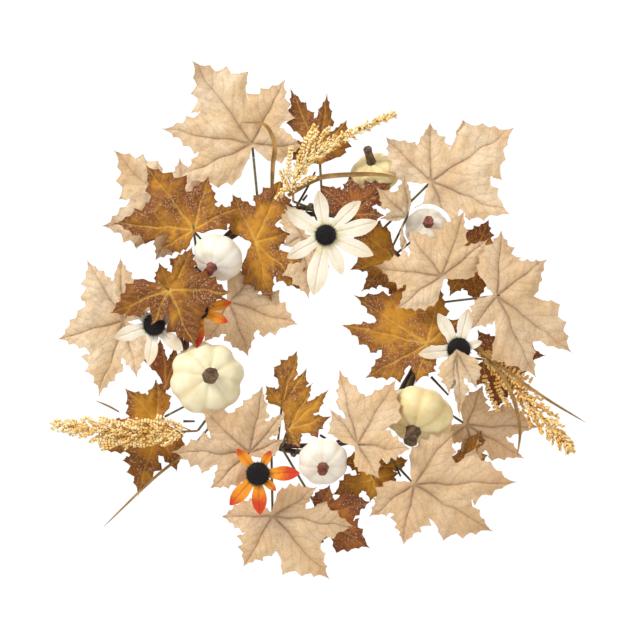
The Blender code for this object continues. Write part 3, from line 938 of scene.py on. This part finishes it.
def length_setting(name, description, default):
    """A setting that is a length, its default in metres."""
    return bpy.props.FloatProperty(
        name=name, description=description, default=default, unit="LENGTH")


class LeafSettings(bpy.types.PropertyGroup):
    thickness: length_setting("Cloth thickness", "Thickness of the leaf cloth", 0.6 * MM)
    puff: length_setting("Puff", "How far the cloth stands up between two veins", 2.5 * MM)
    curl: length_setting("Tip curl", "How far a lobe's tip may curl forward or back", 3.4 * MM)


class PumpkinSettings(bpy.types.PropertyGroup):
    ribs: bpy.props.IntProperty(
        name="Ribs", description="Ribs round each pumpkin", default=8, min=5, max=12)
    groove: bpy.props.FloatProperty(
        name="Groove depth", description="Depth of a groove as a share of the radius",
        default=0.12, subtype="FACTOR", min=0.0, max=0.3)


class FlowerSettings(bpy.types.PropertyGroup):
    hairs: bpy.props.IntProperty(
        name="Hairs", description="Tufts on each flower's eye", default=320, min=0)
    hair_length: length_setting("Hair length", "Length of one tuft", 3.0 * MM)


class GrassSettings(bpy.types.PropertyGroup):
    bead: length_setting("Grain size", "Radius of one sorghum grain", 1.5 * MM)
    blade: length_setting("Blade width", "Widest part of a blade of grass", 4.6 * MM)


class StageSettings(bpy.types.PropertyGroup):
    distance: length_setting("Camera distance", "From the camera to the wreath", 4.0)
    view_width: length_setting(
        "View width", "Width that the camera takes in at the wreath", 0.6304)
    floor_drop: length_setting(
        "Floor drop", "How far the floor is below the wreath's centre", 0.55)
    white: bpy.props.FloatVectorProperty(
        name="Backdrop", description="Colour of the light all round",
        default=(1.0, 1.0, 1.0), size=3, subtype="COLOR")


# ---------------------------------------------------------------- leaves


def leaf_style():
    """How a leaf is veined, puffed and curled, in millimetres and degrees."""
    s = bpy.context.scene.wreath_leaves
    return {
        "twig_shares": (0.20, 0.36, 0.51, 0.66, 0.80), "twig_angle": 42.0, "spacing": 1.6,
        "groove": 1.3, "groove_depth": 0.7, "twig_depth": 0.35, "puff": s.puff / MM,
        "curl": (-0.6 * s.curl / MM, s.curl / MM), "wave": 3.8, "crinkle": 1.0, "wander": 3.5,
        "thickness": s.thickness / MM,
    }


def petal_style():
    """How a disc of petals is veined, puffed and curled."""
    s = bpy.context.scene.wreath_leaves
    return {
        "twig_shares": (0.30, 0.50), "twig_angle": 14.0, "spacing": 1.2,
        "groove": 1.0, "groove_depth": 0.6, "twig_depth": 0.35, "puff": 0.9, "wander": 1.0,
        "curl": (-1.5, 3.0), "wave": 1.4, "crinkle": 0.5, "thickness": s.thickness / MM,
        "tones": (0.0, 0.1, 0.8),
    }


def nearest_pick(place):
    """The pick wire nearest to a place, in millimetres."""
    picks = [name for name in frame["nodes"] if name.startswith("pick_wire")]
    return min(picks, key=lambda name: min(
        (corner.co / MM - place).length for corner in frame["nodes"][name].data.vertices))


def lay_sheet(name, form, outline, style, chance, colour, body, wired_at, node=None):
    """Build and paint a sheet, and attach it to the body that it rides on."""
    piece = blade_sheet(name, form, outline, style, chance)
    piece.data.materials.append(paint(colour))
    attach(piece, body)
    if node:
        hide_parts(node)
    size = (outline.max(0) - outline.min(0)) * MM
    nearest_pick(wired_at)
    float(area_of(outline)) * MM * MM


def stem_of(name, form, body):
    """A moulded stem from under the middle of a blade to the end of its wire."""
    end = form.stem_end
    back = Vector((form.lean[0], 1.0, form.lean[1])).normalized()
    neck = form.base + back * 1.9
    reach = end - neck
    inward = reach - back * reach.dot(back)
    inward.normalize()
    under = neck - inward * 7.0 - back * 0.6
    points = smooth_path([under, neck, (neck + end) / 2 + back * 0.4, end], 4)
    piece = tube(name, points, STEM_RADII, sides=10)
    return finish_shape(piece, paint("stem"), body)


def add_leaf(node, colour):
    """Add the cloth and the stem of one maple leaf."""
    chance = random.Random(node)
    form = BladeForm(node)
    outline = maple_outline(form.lobes, chance, FOLDED_BACK.get(node, 1.0))
    if node in PUSHED_ASIDE:
        outline = pushed_aside(outline, form.base, PUSHED_ASIDE[node])
    lay_sheet(node + "_cloth", form, outline, leaf_style(), chance, colour,
              body_of(node), form.stem_end, node)
    stem_of(node + "_stem", form, body_of(node))


# Small blades behind or between the others: name, finish, (right, up, forward) from the
# ring's centre, (lean right, lean up, cup), and (bearing, length) of each lobe.
SMALL_BLADES = (
    ("cream_leaf_below_daisy", "cream", (152, -22, 53), (0.0, 0.10, -2.0),
     ((259, 42), (272, 63), (299, 41))),
    ("cream_leaf_behind_top_daisy", "cream", (0, 93, 30), (0.0, 0.0, 1.0),
     ((119, 37), (208, 21), (276, 62), (311, 42))),
    ("amber_leaf_two", "amber", (165, 67, 18), (0.0, 0.0, 1.0),
     ((240, 39), (281, 42), (65, 46))),
    ("amber_leaf_four", "amber", (167, -130, 10), (0.0, 0.0, 1.0),
     ((71, 33), (167, 21), (20, 18))),
    ("rust_leaf_eight", "rust", (-135, -57, 12), (0.0, 0.0, 1.0),
     ((78, 43), (96, 49), (159, 8))),
    ("amber_leaf_bottom_behind", "amber", (84, -136, 6), (0.0, 0.0, 1.0),
     ((172, 46), (214, 42), (262, 34), (20, 22))),
    ("amber_leaf_behind_nine", "amber", (-130, 37, 33), (0.0, 0.0, 1.0),
     ((64, 50), (110, 31), (186, 20))),
)


class AddCreamLeaves(bpy.types.Operator):
    """Add the cream maple leaves"""
    bl_idname = "wreath.add_cream_leaves"
    bl_label = "Cream leaves"

    def execute(self, context):
        for node in sorted(frame["nodes"]):
            if node.startswith("cream_leaf"):
                add_leaf(node, "cream")
        return {"FINISHED"}


class AddWarmLeaves(bpy.types.Operator):
    """Add the amber and rust maple leaves"""
    bl_idname = "wreath.add_warm_leaves"
    bl_label = "Amber and rust leaves"

    def execute(self, context):
        for node in sorted(frame["nodes"]):
            for colour in ("amber", "rust"):
                if node.startswith(colour + "_leaf"):
                    add_leaf(node, colour)
        return {"FINISHED"}


class AddSmallBlades(bpy.types.Operator):
    """Add the small leaves that show between the others"""
    bl_idname = "wreath.add_small_blades"
    bl_label = "Small leaves between"

    def execute(self, context):
        for name, colour, (right, up, forward), lean, lobes in SMALL_BLADES:
            chance = random.Random(name)
            form = loose_form(right, up, forward, lean, lobes)
            outline = maple_outline(form.lobes, chance)
            lay_sheet(name + "_cloth", form, outline, leaf_style(), chance, colour,
                      MAIN_BODY, form.base)
        return {"FINISHED"}


# ---------------------------------------------------------------- daisies


def add_eye(node, form):
    """A domed eye covered in short black tufts."""
    low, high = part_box(node)
    size = (high - low) / MM
    radius = max(size.x, size.z) / 2.0
    height = max(size.y, 4.0)
    back = Vector((form.lean[0], 1.0, form.lean[1])).normalized()
    centre = Vector((middle(node).x, high.y / MM, middle(node).z))
    seat = Matrix.Translation(centre * MM) @ turned_to(-back)
    dome = add_alone(bpy.ops.mesh.primitive_uv_sphere_add,
                     segments=24, ring_count=14, radius=radius * 0.92 * MM)
    edit(select_all=False)
    bpy.ops.mesh.bisect(plane_co=(0, 0, -0.02 * radius * MM), plane_no=(0, 0, 1),
                        use_fill=True, clear_inner=True)
    bpy.ops.mesh.select_all(action="SELECT")
    resize(1, 1, height * 0.8 / radius)
    leave_edit()
    dome.data.transform(seat)
    settings = bpy.context.scene.wreath_flowers
    hair = add_alone(bpy.ops.mesh.primitive_cone_add, vertices=3, radius1=HAIR_ROOT * MM,
                     radius2=HAIR_TIP * MM, depth=settings.hair_length, end_fill_type="NGON")
    chance = random.Random(node)
    places = []
    for index in range(settings.hairs):
        share = (index + 0.5) / settings.hairs
        tilt = math.acos(1.0 - share * 0.96)
        swing = index * SPIRAL_TURN
        out = Vector((math.sin(tilt) * math.cos(swing), math.sin(tilt) * math.sin(swing),
                      math.cos(tilt)))
        root = Vector((out.x * radius * 0.88, out.y * radius * 0.88, out.z * height * 0.66))
        lean = (out + Vector((chance.uniform(-.4, .4), chance.uniform(-.4, .4),
                              chance.uniform(-.2, .4)))).normalized()
        places.append(seat @ Matrix.Translation((root + lean * 0.7) * MM) @ turned_to(lean)
                      @ Matrix.Scale(chance.uniform(0.8, 1.3), 4))
    tufts = copies(node + "_tufts", hair, places)
    bpy.data.objects.remove(hair)
    piece = joined(node + "_tufted", [dome, tufts])
    return finish_shape(piece, paint("flock"), body_of(node), [node])


class AddDaisies(bpy.types.Operator):
    """Add the daisies: a stamped disc of petals and a tufted eye each"""
    bl_idname = "wreath.add_daisies"
    bl_label = "Daisies"

    def execute(self, context):
        for node in sorted(frame["nodes"]):
            if not node.endswith("_petals"):
                continue
            name = node[:-len("_petals")]
            colour = "petal_orange" if name in ("daisy_seven", "daisy_ten") else "petal_cream"
            chance = random.Random(node)
            form = BladeForm(node)
            outline = petal_outline(form.lobes, chance)
            lay_sheet(node + "_cloth", form, outline, petal_style(), chance, colour,
                      body_of(node), form.stem_end, node)
            stem_of(name + "_stem", form, body_of(node))
            add_eye(name + "_eye", form)
        return {"FINISHED"}


# ---------------------------------------------------------------- pumpkins


def pumpkin_frame(node):
    """A pumpkin's centre, its stalk's direction, its radius and its half height."""
    centre = middle(node)
    axis = (middle(node + "_stalk") - centre).normalized()
    steps = [corner.co / MM - centre for corner in frame["nodes"][node].data.vertices]
    radius = max((step - axis * step.dot(axis)).length for step in steps)
    half = max(abs(step.dot(axis)) for step in steps)
    return centre, axis, radius, half


def add_pumpkin(node, colour, slot, stalk, groove):
    """Add a ribbed foam pumpkin, pressed in at both ends, and its stalk."""
    settings = bpy.context.scene.wreath_pumpkins
    centre, axis, radius, half = pumpkin_frame(node)
    chance = random.Random(node)
    piece = add_alone(bpy.ops.mesh.primitive_uv_sphere_add,
                      segments=settings.ribs * 4, ring_count=14, radius=radius * MM)
    piece.name = node + "_foam"
    edit(select_all=False)
    bpy.ops.mesh.select_mode(type="VERT")

    def pick(test):
        """Select the corners that pass a test of (longitude, radius share, height share)."""
        bpy.ops.mesh.select_all(action="DESELECT")
        form = bmesh.from_edit_mesh(piece.data)
        for corner in form.verts:
            turn = math.degrees(math.atan2(corner.co.y, corner.co.x)) % 360.0
            across = math.hypot(corner.co.x, corner.co.y) / (radius * MM)
            if test(turn, across, corner.co.z / (radius * MM)):
                corner.select = True
        form.select_flush(True)
        bmesh.update_edit_mesh(piece.data)

    step = 360.0 / settings.ribs
    for index in range(settings.ribs):
        valley = index * step
        depth = settings.groove * groove * chance.uniform(0.8, 1.25)
        pick(lambda turn, across, high: across > 0.02
             and abs((turn - valley + 180) % 360 - 180) < step / 16)
        resize(1 - depth, 1 - depth, 1 - depth * 0.35)
        crest = valley + step / 2
        swell = chance.uniform(0.975, 1.015)
        pick(lambda turn, across, high: across > 0.02
             and abs((turn - crest + 180) % 360 - 180) < step * 0.3)
        resize(swell, swell, 1)
    for side in (1, -1):
        for limit, drop in ((0.86, 0.10), (0.955, 0.13), (0.999, 0.12)):
            pick(lambda turn, across, high: high * side > limit * 0.965)
            bpy.ops.transform.translate(value=(0, 0, -side * drop * radius * MM))
    leave_edit()
    apply_modifier(piece, "SUBSURF", levels=2, render_levels=2)
    across = max(math.hypot(corner.co.x, corner.co.y) for corner in piece.data.vertices)
    across /= LARGE_SWELL if radius > LARGE_RADIUS else SMALL_SWELL
    tall = max(abs(corner.co.z) for corner in piece.data.vertices)
    select(piece)
    edit()
    resize(radius * MM / across, radius * MM / across, half * MM / tall)
    leave_edit()
    # How near each corner is to a groove; the foam's colour is darkened there as painted shade.
    layer = piece.data.attributes.new("groove", "FLOAT", "POINT")
    shares = []
    for corner in piece.data.vertices:
        turn = math.degrees(math.atan2(corner.co.y, corner.co.x)) % step
        off = min(turn, step - turn) / (step / 2)
        shares.append(max(0.0, 1.0 - off * 2.4))
        wobble = noise.noise(corner.co / (22 * MM) + Vector((0, 0, len(node))))
        corner.co *= 1.0 + 0.010 * wobble
    layer.data.foreach_set("value", shares)
    piece.data.transform(Matrix.Translation(centre * MM) @ turned_to(axis))
    finish_shape(piece, paint(colour), body_of(node), [node])
    add_stalk(node + "_stalk", centre, axis, stalk)


# A stalk's width at each share of its height, foot to top, as a share of its foot's.
STALK_WIDTHS = ((0.10, 0.96), (0.28, 0.84), (0.55, 0.76), (0.82, 0.76), (0.97, 0.86), (1.0, 0.82))


def add_stalk(node, centre, axis, colour):
    """A ridged stalk that flares at its foot and is cut off square."""
    corners = [corner.co / MM - centre for corner in frame["nodes"][node].data.vertices]
    foot = min(step.dot(axis) for step in corners) - 1.5
    top = max(step.dot(axis) for step in corners)
    radius = max((step - axis * step.dot(axis)).length for step in corners)
    length = top - foot
    chance = random.Random(node)
    piece = add_alone(bpy.ops.mesh.primitive_circle_add,
                      vertices=12, radius=radius * MM, fill_type="NGON", location=(0, 0, 0))
    piece.name = node + "_moulded"
    edit()
    width = 1.0
    done = 0.0
    for share, wanted in STALK_WIDTHS:
        bpy.ops.mesh.extrude_region_move(
            TRANSFORM_OT_translate={"value": (0, 0, (share - done) * length * MM)})
        resize(wanted / width, wanted / width, 1)
        bpy.ops.transform.translate(value=(chance.uniform(-.25, .25) * MM,
                                           chance.uniform(-.25, .25) * MM, 0))
        done = share
        width = wanted
    bpy.ops.mesh.inset(thickness=radius * 0.16 * MM, depth=-0.5 * MM)
    bpy.ops.mesh.select_all(action="DESELECT")
    form = bmesh.from_edit_mesh(piece.data)
    for corner in form.verts:
        turn = math.degrees(math.atan2(corner.co.y, corner.co.x)) % 60.0
        if 15.0 < turn < 45.0:
            corner.select = True
    form.select_flush(True)
    bmesh.update_edit_mesh(piece.data)
    resize(0.80, 0.80, 1)
    leave_edit()
    apply_modifier(piece, "SUBSURF", levels=2, render_levels=2)
    weld(piece)
    piece.data.transform(Matrix.Translation((centre + axis * foot) * MM) @ turned_to(axis))
    finish_shape(piece, paint(colour), body_of(node), [node], angle=50)


# Each pumpkin's foam, its material slot, its stalk and its grooves' depth, as a share.
PUMPKIN_FINISHES = {
    "pumpkin_ten": ("ivory", "foam_ivory", "stalk", 0.55),
    "pumpkin_six": ("ivory", "foam_ivory", "stalk", 0.6),
    "pumpkin_two": ("ivory", "foam_ivory", "stalk", 0.5),
    "pumpkin_eight": ("butter", "foam_butter", "dark_stalk", 1.0),
    "pumpkin_four": ("deep_butter", "foam_butter", "dark_stalk", 0.8),
    "pumpkin_one": ("deep_butter", "foam_butter", "dark_stalk", 0.9),
}


class AddPumpkins(bpy.types.Operator):
    """Add the foam pumpkins and their stalks"""
    bl_idname = "wreath.add_pumpkins"
    bl_label = "Pumpkins"

    def execute(self, context):
        for node in sorted(frame["nodes"]):
            if node.startswith("pumpkin") and not node.endswith("_stalk"):
                add_pumpkin(node, *PUMPKIN_FINISHES[node])
        return {"FINISHED"}


# ---------------------------------------------------------------- grasses


def stations(node):
    """Centres and radii along a CAD tube, found from its rings of corners."""
    form = merged(node)
    form.verts.index_update()
    corners = list(form.verts)
    places = np.array([corner.co / MM for corner in corners])
    root = path_start(node)
    cap = min(form.faces, key=lambda face: (face.calc_center_median() / MM - root).length)
    ring = {corner.index for corner in cap.verts}
    grown = True
    while grown:
        grown = False
        for face in form.faces:
            ids = {corner.index for corner in face.verts}
            flush = abs(face.normal.dot(cap.normal)) > 0.97
            if flush and len(ids & ring) >= 2 and not ids <= ring:
                ring |= ids
                grown = True
    done = set(ring)
    centres = []
    radii = []
    while ring:
        cluster = places[sorted(ring)]
        centre = cluster.mean(0)
        centres.append(Vector(centre))
        radii.append(float(np.linalg.norm(cluster - centre, axis=1).mean()))
        linked = {edge.other_vert(corners[index]).index
                  for index in ring for edge in corners[index].link_edges}
        ring = linked - done
        done |= ring
    form.free()
    return centres, radii


def path_start(node):
    """The end of a CAD sprig that is nearest to the ring, in millimetres."""
    centre = ring_centre()
    radius = (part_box(RING_NODE)[1].x) / MM
    corners = [corner.co / MM for corner in frame["nodes"][node].data.vertices]

    def off_ring(place):
        """How far a place is from the ring's circle."""
        return abs(math.hypot(place.x, place.z - centre.z) - radius) + abs(place.y)
    return min(corners, key=off_ring)


TWIG_STEPS = (1.3, 2.1)


def add_sorghum(node, colour, slim, spikes):
    """A sorghum head: a bent stalk with side twigs, all covered in small grains."""
    centres, radii = stations(node)
    chance = random.Random(node)
    core = smooth_path(centres, 24)
    girth = even(radii, len(core))
    twigs = [tube(node + "_core", core, [1.2, 1.1, 0.9, 0.6, 0.4], sides=6)]
    places = []

    def grains_along(points, spread, every, last=1.0):
        """Grains all round a line of points, standing a little off it."""
        travelled = 0.0
        for first, second in zip(points, points[1:]):
            step = second - first
            travelled += step.length
            while travelled > every:
                travelled -= every
                way = step.normalized()
                swing = chance.uniform(0, 2 * math.pi)
                side = way.orthogonal().normalized()
                side.rotate(Matrix.Rotation(swing, 3, way))
                place = second + side * chance.uniform(0.3, 1.0) * spread
                aim = turned_to((way + side * chance.uniform(0.2, 0.9)).normalized())
                size = chance.uniform(0.78, 1.15) * last
                places.append(Matrix.Translation(place * MM) @ aim @ Matrix.Scale(size, 4))

    total = sum((b - a).length for a, b in zip(core, core[1:]))
    travelled = 0.0
    next_twig = 0.12 * total
    swing = chance.uniform(0, 6.28)
    for index in range(1, len(core) - 1):
        travelled += (core[index] - core[index - 1]).length
        if travelled < next_twig:
            continue
        next_twig += chance.uniform(*TWIG_STEPS)
        swing += 2.4
        way = (core[index + 1] - core[index - 1]).normalized()
        side = way.orthogonal().normalized()
        side.rotate(Matrix.Rotation(swing, 3, way))
        side.y *= 0.7
        reach = girth[index] * slim * chance.uniform(0.75, 1.1)
        last = core[index] + side * reach + way * reach * chance.uniform(0.7, 1.2)
        bend = core[index] + side * reach * 0.6 + way * reach * 0.25
        points = smooth_path([core[index], bend, last], 5)
        twigs.append(tube(node + "_twig", points, [0.5, 0.3], sides=6))
        grains_along(points[2:], 1.9, 1.0)
    for start, offsets in spikes:
        origin = core[min(len(core) - 2, round(start * (len(core) - 1)))]
        points = smooth_path([origin] + [origin + Vector(offset) for offset in offsets], 7)
        twigs.append(tube(node + "_spike", points, [0.7, 0.3], sides=6))
        grains_along(points[4:], 2.8, 0.5, 0.95)
    grains_along(core[len(core) // 8:], 2.8, 0.6)
    grain = add_alone(bpy.ops.mesh.primitive_uv_sphere_add, segments=6, ring_count=4,
                  radius=bpy.context.scene.wreath_grasses.bead)
    edit()
    resize(0.82, 0.82, 1.12)
    leave_edit()
    heads = copies(node + "_grains", grain, places)
    bpy.data.objects.remove(grain)
    finish_shape(heads, paint(colour), body_of(node), [node])
    stalk = joined(node + "_twigs", twigs)
    finish_shape(stalk, paint("grass"), body_of(node))


# Each head's grain, how full it is, and its long side twigs: the share of the stalk that
# one starts at, and its (right, back, up) steps from there.
SORGHUM_HEADS = {
    "sorghum_eight": ("grain", 1.05, (
        (0.20, ((-18, -2, 8), (-38, -3, 11))), (0.40, ((-22, -2, 8), (-46, -1, 11))),
        (0.25, ((-14, -2, -9), (-34, -2, -13))), (0.05, ((-14, -3, 6), (-34, -3, 14))),
        (0.50, ((-14, -2, -8), (-36, -2, -10))), (0.10, ((-10, -3, -6), (-24, -3, -14))))),
    "sorghum_twelve": ("grain", 0.55, (
        (0.10, ((2, -3, 24), (12, -4, 50), (22, -4, 66))),
        (0.15, ((-5, -3, 16), (-2, -3, 40))), (0.05, ((-6, -3, 10), (-12, -3, 26))),
        (0.30, ((4, -3, 20), (14, -3, 42))), (0.40, ((4, -3, 16), (14, -3, 34))),
        (0.50, ((6, -2, 14), (18, -2, 28))), (0.10, ((-8, -2, 4), (-16, -2, -6))),
        (0.12, ((8, -3, 8), (22, -3, 14))))),
    "sorghum_three": ("deep_grain", 1.1, (
        (0.06, ((14, -3, -12), (30, -4, -36))), (0.10, ((24, -3, -20), (46, -4, -46))),
        (0.22, ((14, -3, -16), (32, -4, -42))),
        (0.15, ((22, -1, -10), (50, -2, -26))), (0.20, ((4, -1, -28), (14, -1, -54))),
        (0.35, ((6, -1, -26), (16, -1, -42))), (0.40, ((16, -1, -12), (36, -1, -34))),
        (0.05, ((14, -2, -4), (30, -2, -12))))),
}


class AddSorghum(bpy.types.Operator):
    """Add the three sorghum heads"""
    bl_idname = "wreath.add_sorghum"
    bl_label = "Sorghum heads"

    def execute(self, context):
        for node, (colour, slim, spikes) in SORGHUM_HEADS.items():
            add_sorghum(node, colour, slim, spikes)
        return {"FINISHED"}


def ribbon(name, points, width, body, replaced=()):
    """A blade of grass: a creased strip that tapers to a point, along points."""
    path = smooth_path(points, 8)
    count = len(path)
    mesh = bpy.data.meshes.new(name)
    corners = []
    faces = []
    for index, place in enumerate(path):
        share = index / (count - 1)
        way = (path[min(index + 1, count - 1)] - path[max(index - 1, 0)]).normalized()
        aside = way.cross(Vector((0, -1, 0)))
        aside.normalize()
        half = 0.5 * width * max(0.06, math.sin(math.pi * min(1.0, 0.18 + 0.82 * share)) ** 0.6)
        crease = Vector((0, -0.35 * half, 0))
        for offset in (-1.0, -0.5, 0.0, 0.5, 1.0):
            corners.append((place + aside * half * offset + crease * abs(offset)) * MM)
        if index:
            low = (index - 1) * 5
            for column in range(4):
                faces.append((low + column, low + column + 1, low + column + 6, low + column + 5))
    mesh.from_pydata(corners, [], faces)
    face_front(mesh)
    piece = linked_object(name, mesh)
    apply_modifier(piece, "SOLIDIFY", thickness=RIBBON_THICKNESS * MM, offset=0.0)
    return finish_shape(piece, paint("grass"), body, replaced, angle=50)


# Blades of grass with no CAD node: name, width and (right, up, forward) places from the
# ring's centre.
LOOSE_BLADES = (
    ("grass_blade_twelve", 5.0,
     ((-14, 133, 12), (13, 148, 32), (33, 152, 38), (72, 153, 42), (95, 150, 38))),
    ("grass_blade_eight", 1.7, ((-181, -81, 12), (-192, -75, 14), (-204, -70, 13))),
    ("grass_blade_four", 3.6,
     ((173, -15, 34), (202, -54, 38), (214, -94, 36), (212, -125, 32))),
)
LOOSE_TWIGS = (
    ("twig_twelve", ((-5, 123, 20), (5, 140, 26), (13, 156, 26))),
    ("twig_twelve_stub", ((1, 128, 24), (5, 133, 27))),
    ("twig_four", ((127, -46, 34), (144, -64, 36))),
    ("twig_bottom", ((91, -130, 30), (97, -144, 34))),
    ("twig_eight", ((-117, -90, 22), (-106, -90, 24))),
    ("twig_six", ((18, -104, 14), (32, -112, 20), (41, -112, 20))),
)


# A blade that sways is set back a little, so that it clears the leaf in front.
SWAYING_SET_BACK = Vector((0.0, 1.3, 0.0))


class AddBlades(bpy.types.Operator):
    """Add the blades of grass and the bare twigs"""
    bl_idname = "wreath.add_blades"
    bl_label = "Grass blades and twigs"

    def execute(self, context):
        width = context.scene.wreath_grasses.blade / MM
        for node in sorted(frame["nodes"]):
            if node.startswith("grass_blade"):
                centres, _ = stations(node)
                share = 1.0 if node == "grass_blade_eleven" else 0.6
                if node == "grass_blade_three":
                    centres = [place + SWAYING_SET_BACK for place in centres]
                ribbon(node + "_strip", centres, width * share, body_of(node), [node])
        centre = ring_centre()
        for name, wide, route in LOOSE_BLADES:
            points = [centre + Vector((x, -f, z)) for x, z, f in route]
            ribbon(name, points, wide, MAIN_BODY)
        for name, route in LOOSE_TWIGS:
            points = smooth_path([centre + Vector((x, -f, z)) for x, z, f in route], 4)
            piece = tube(name, points, [1.3, 0.9], sides=8)
            finish_shape(piece, paint("vine"), MAIN_BODY)
        return {"FINISHED"}


# ---------------------------------------------------------------- ring and wires


def strand_path(node, count=60):
    """The centre line of a closed CAD strand, as one point for each of its stations."""
    form = merged(node)
    centre = ring_centre()
    groups = {}
    for corner in form.verts:
        place = corner.co / MM
        turn = math.degrees(math.atan2(place.z - centre.z, place.x)) % 360.0
        groups.setdefault(round(turn * count / 360.0) % count, []).append(place)
    form.free()
    return [sum(groups[key], Vector()) / len(groups[key]) for key in sorted(groups)]


VINE_RADIUS = 2.55


class AddRing(bpy.types.Operator):
    """Add the twisted vine ring and paint the wires on it"""
    bl_idname = "wreath.add_ring"
    bl_label = "Ring and wires"

    def execute(self, context):
        for node in ("ring_strand_first", "ring_strand_second"):
            knots = strand_path(node)
            closed = knots[-1:] + knots + knots[:2]
            path = smooth_path(closed, 5)[5:-10]
            chance = random.Random(node)
            radii = []
            for index in range(len(path)):
                knot = 0.35 * max(0.0, math.sin(index * 0.21) ** 9)
                radii.append(VINE_RADIUS + knot + chance.uniform(-0.06, 0.06))
            radii[-1] = radii[0]
            piece = tube(node + "_bark", path, radii, sides=14, closed=True)
            finish_shape(piece, paint("vine"), body_of(node), [node])
        for node in sorted(frame["nodes"]):
            if node.startswith("pick_wire"):
                wire = frame["nodes"][node]
                wire.data.materials.clear()
                wire.data.materials.append(paint("stem"))
        return {"FINISHED"}


# ---------------------------------------------------------------- stage


# Each lamp's name, place and width in metres, and power in watts.
LAMPS = (
    ("key", (-1.4, -1.3, 1.5), 0.9, 53.0),
    ("fill", (1.6, -1.8, 0.1), 1.6, 10.0),
    ("back_fill", (0.6, 1.8, 0.9), 1.6, 14.0),
)
# The strength of the light all round, as it falls on the wreath and as the camera sees it.
AMBIENT = 0.56
BACKDROP = 1.05


def area_light(name, place, size, power, aim):
    """A square lamp that looks at a place."""
    lamp = bpy.data.lights.new(name, "AREA")
    lamp.shape = "SQUARE"
    lamp.size = size
    lamp.energy = power
    made = linked_object(name, lamp)
    made.location = place
    made.rotation_euler = (aim - Vector(place)).to_track_quat("-Z", "Y").to_euler()


class SetStage(bpy.types.Operator):
    """Set the floor, the lights and the camera"""
    bl_idname = "wreath.set_stage"
    bl_label = "Stage"

    def execute(self, context):
        settings = context.scene.wreath_stage
        centre = ring_centre() * MM
        floor = add_alone(bpy.ops.mesh.primitive_plane_add, size=1.7,
                          location=(centre.x, 0.2, centre.z - settings.floor_drop))
        floor.name = "floor"
        floor.data.materials.append(paint("floor"))

        world = bpy.data.worlds.new("soft_white")
        context.scene.world = world
        world.use_nodes = True
        tree = world.node_tree
        back = tree.nodes["Background"]
        back.inputs["Color"].default_value = (*settings.white, 1.0)
        sight = tree.nodes.new("ShaderNodeLightPath")
        level = tree.nodes.new("ShaderNodeMapRange")
        level.inputs["To Min"].default_value = AMBIENT
        level.inputs["To Max"].default_value = BACKDROP
        tree.links.new(sight.outputs["Is Camera Ray"], level.inputs["Value"])
        tree.links.new(level.outputs["Result"], back.inputs["Strength"])
        context.scene.view_settings.view_transform = "Standard"

        for lamp in LAMPS:
            area_light(*lamp, centre)

        camera = bpy.data.cameras.new("camera")
        camera.sensor_width = 36.0
        camera.lens = 36.0 * settings.distance / settings.view_width
        seat = linked_object("camera", camera)
        seat.location = (0.0177, -0.03 - settings.distance, centre.z + 0.0099)
        seat.rotation_euler = (math.radians(90.0), 0.0, 0.0)
        context.scene.camera = seat
        return {"FINISHED"}


class WreathPanel(bpy.types.Panel):
    """The wreath's settings and its steps, in order"""
    bl_idname = "VIEW3D_PT_wreath"
    bl_label = "Harvest wreath"
    bl_space_type = "VIEW_3D"
    bl_region_type = "UI"
    bl_category = "Wreath"

    def draw(self, context):
        for group in SETTINGS:
            box = self.layout.box()
            for label in group.__annotations__:
                box.prop(getattr(context.scene, SETTINGS[group]), label)
        for operator in OPERATORS:
            self.layout.operator(operator.bl_idname)


SETTINGS = {
    LeafSettings: "wreath_leaves",
    PumpkinSettings: "wreath_pumpkins",
    FlowerSettings: "wreath_flowers",
    GrassSettings: "wreath_grasses",
    StageSettings: "wreath_stage",
}
OPERATORS = (
    SetStage, AddRing, AddPumpkins, AddCreamLeaves, AddWarmLeaves, AddSmallBlades, AddDaisies,
    AddSorghum, AddBlades)
CLASSES = (*SETTINGS, *OPERATORS, WreathPanel)


def register():
    """Make the settings and steps known to Blender."""
    for made in CLASSES:
        bpy.utils.register_class(made)
    for group, name in SETTINGS.items():
        setattr(bpy.types.Scene, name, bpy.props.PointerProperty(type=group))


def unregister():
    """Take the settings and steps away again."""
    for name in SETTINGS.values():
        delattr(bpy.types.Scene, name)
    for made in reversed(CLASSES):
        bpy.utils.unregister_class(made)


def main():
    register()
    for operator in OPERATORS:
        group, name = operator.bl_idname.split(".")
        getattr(getattr(bpy.ops, group), name)()
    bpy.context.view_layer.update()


if __name__ == "__main__":
    main()
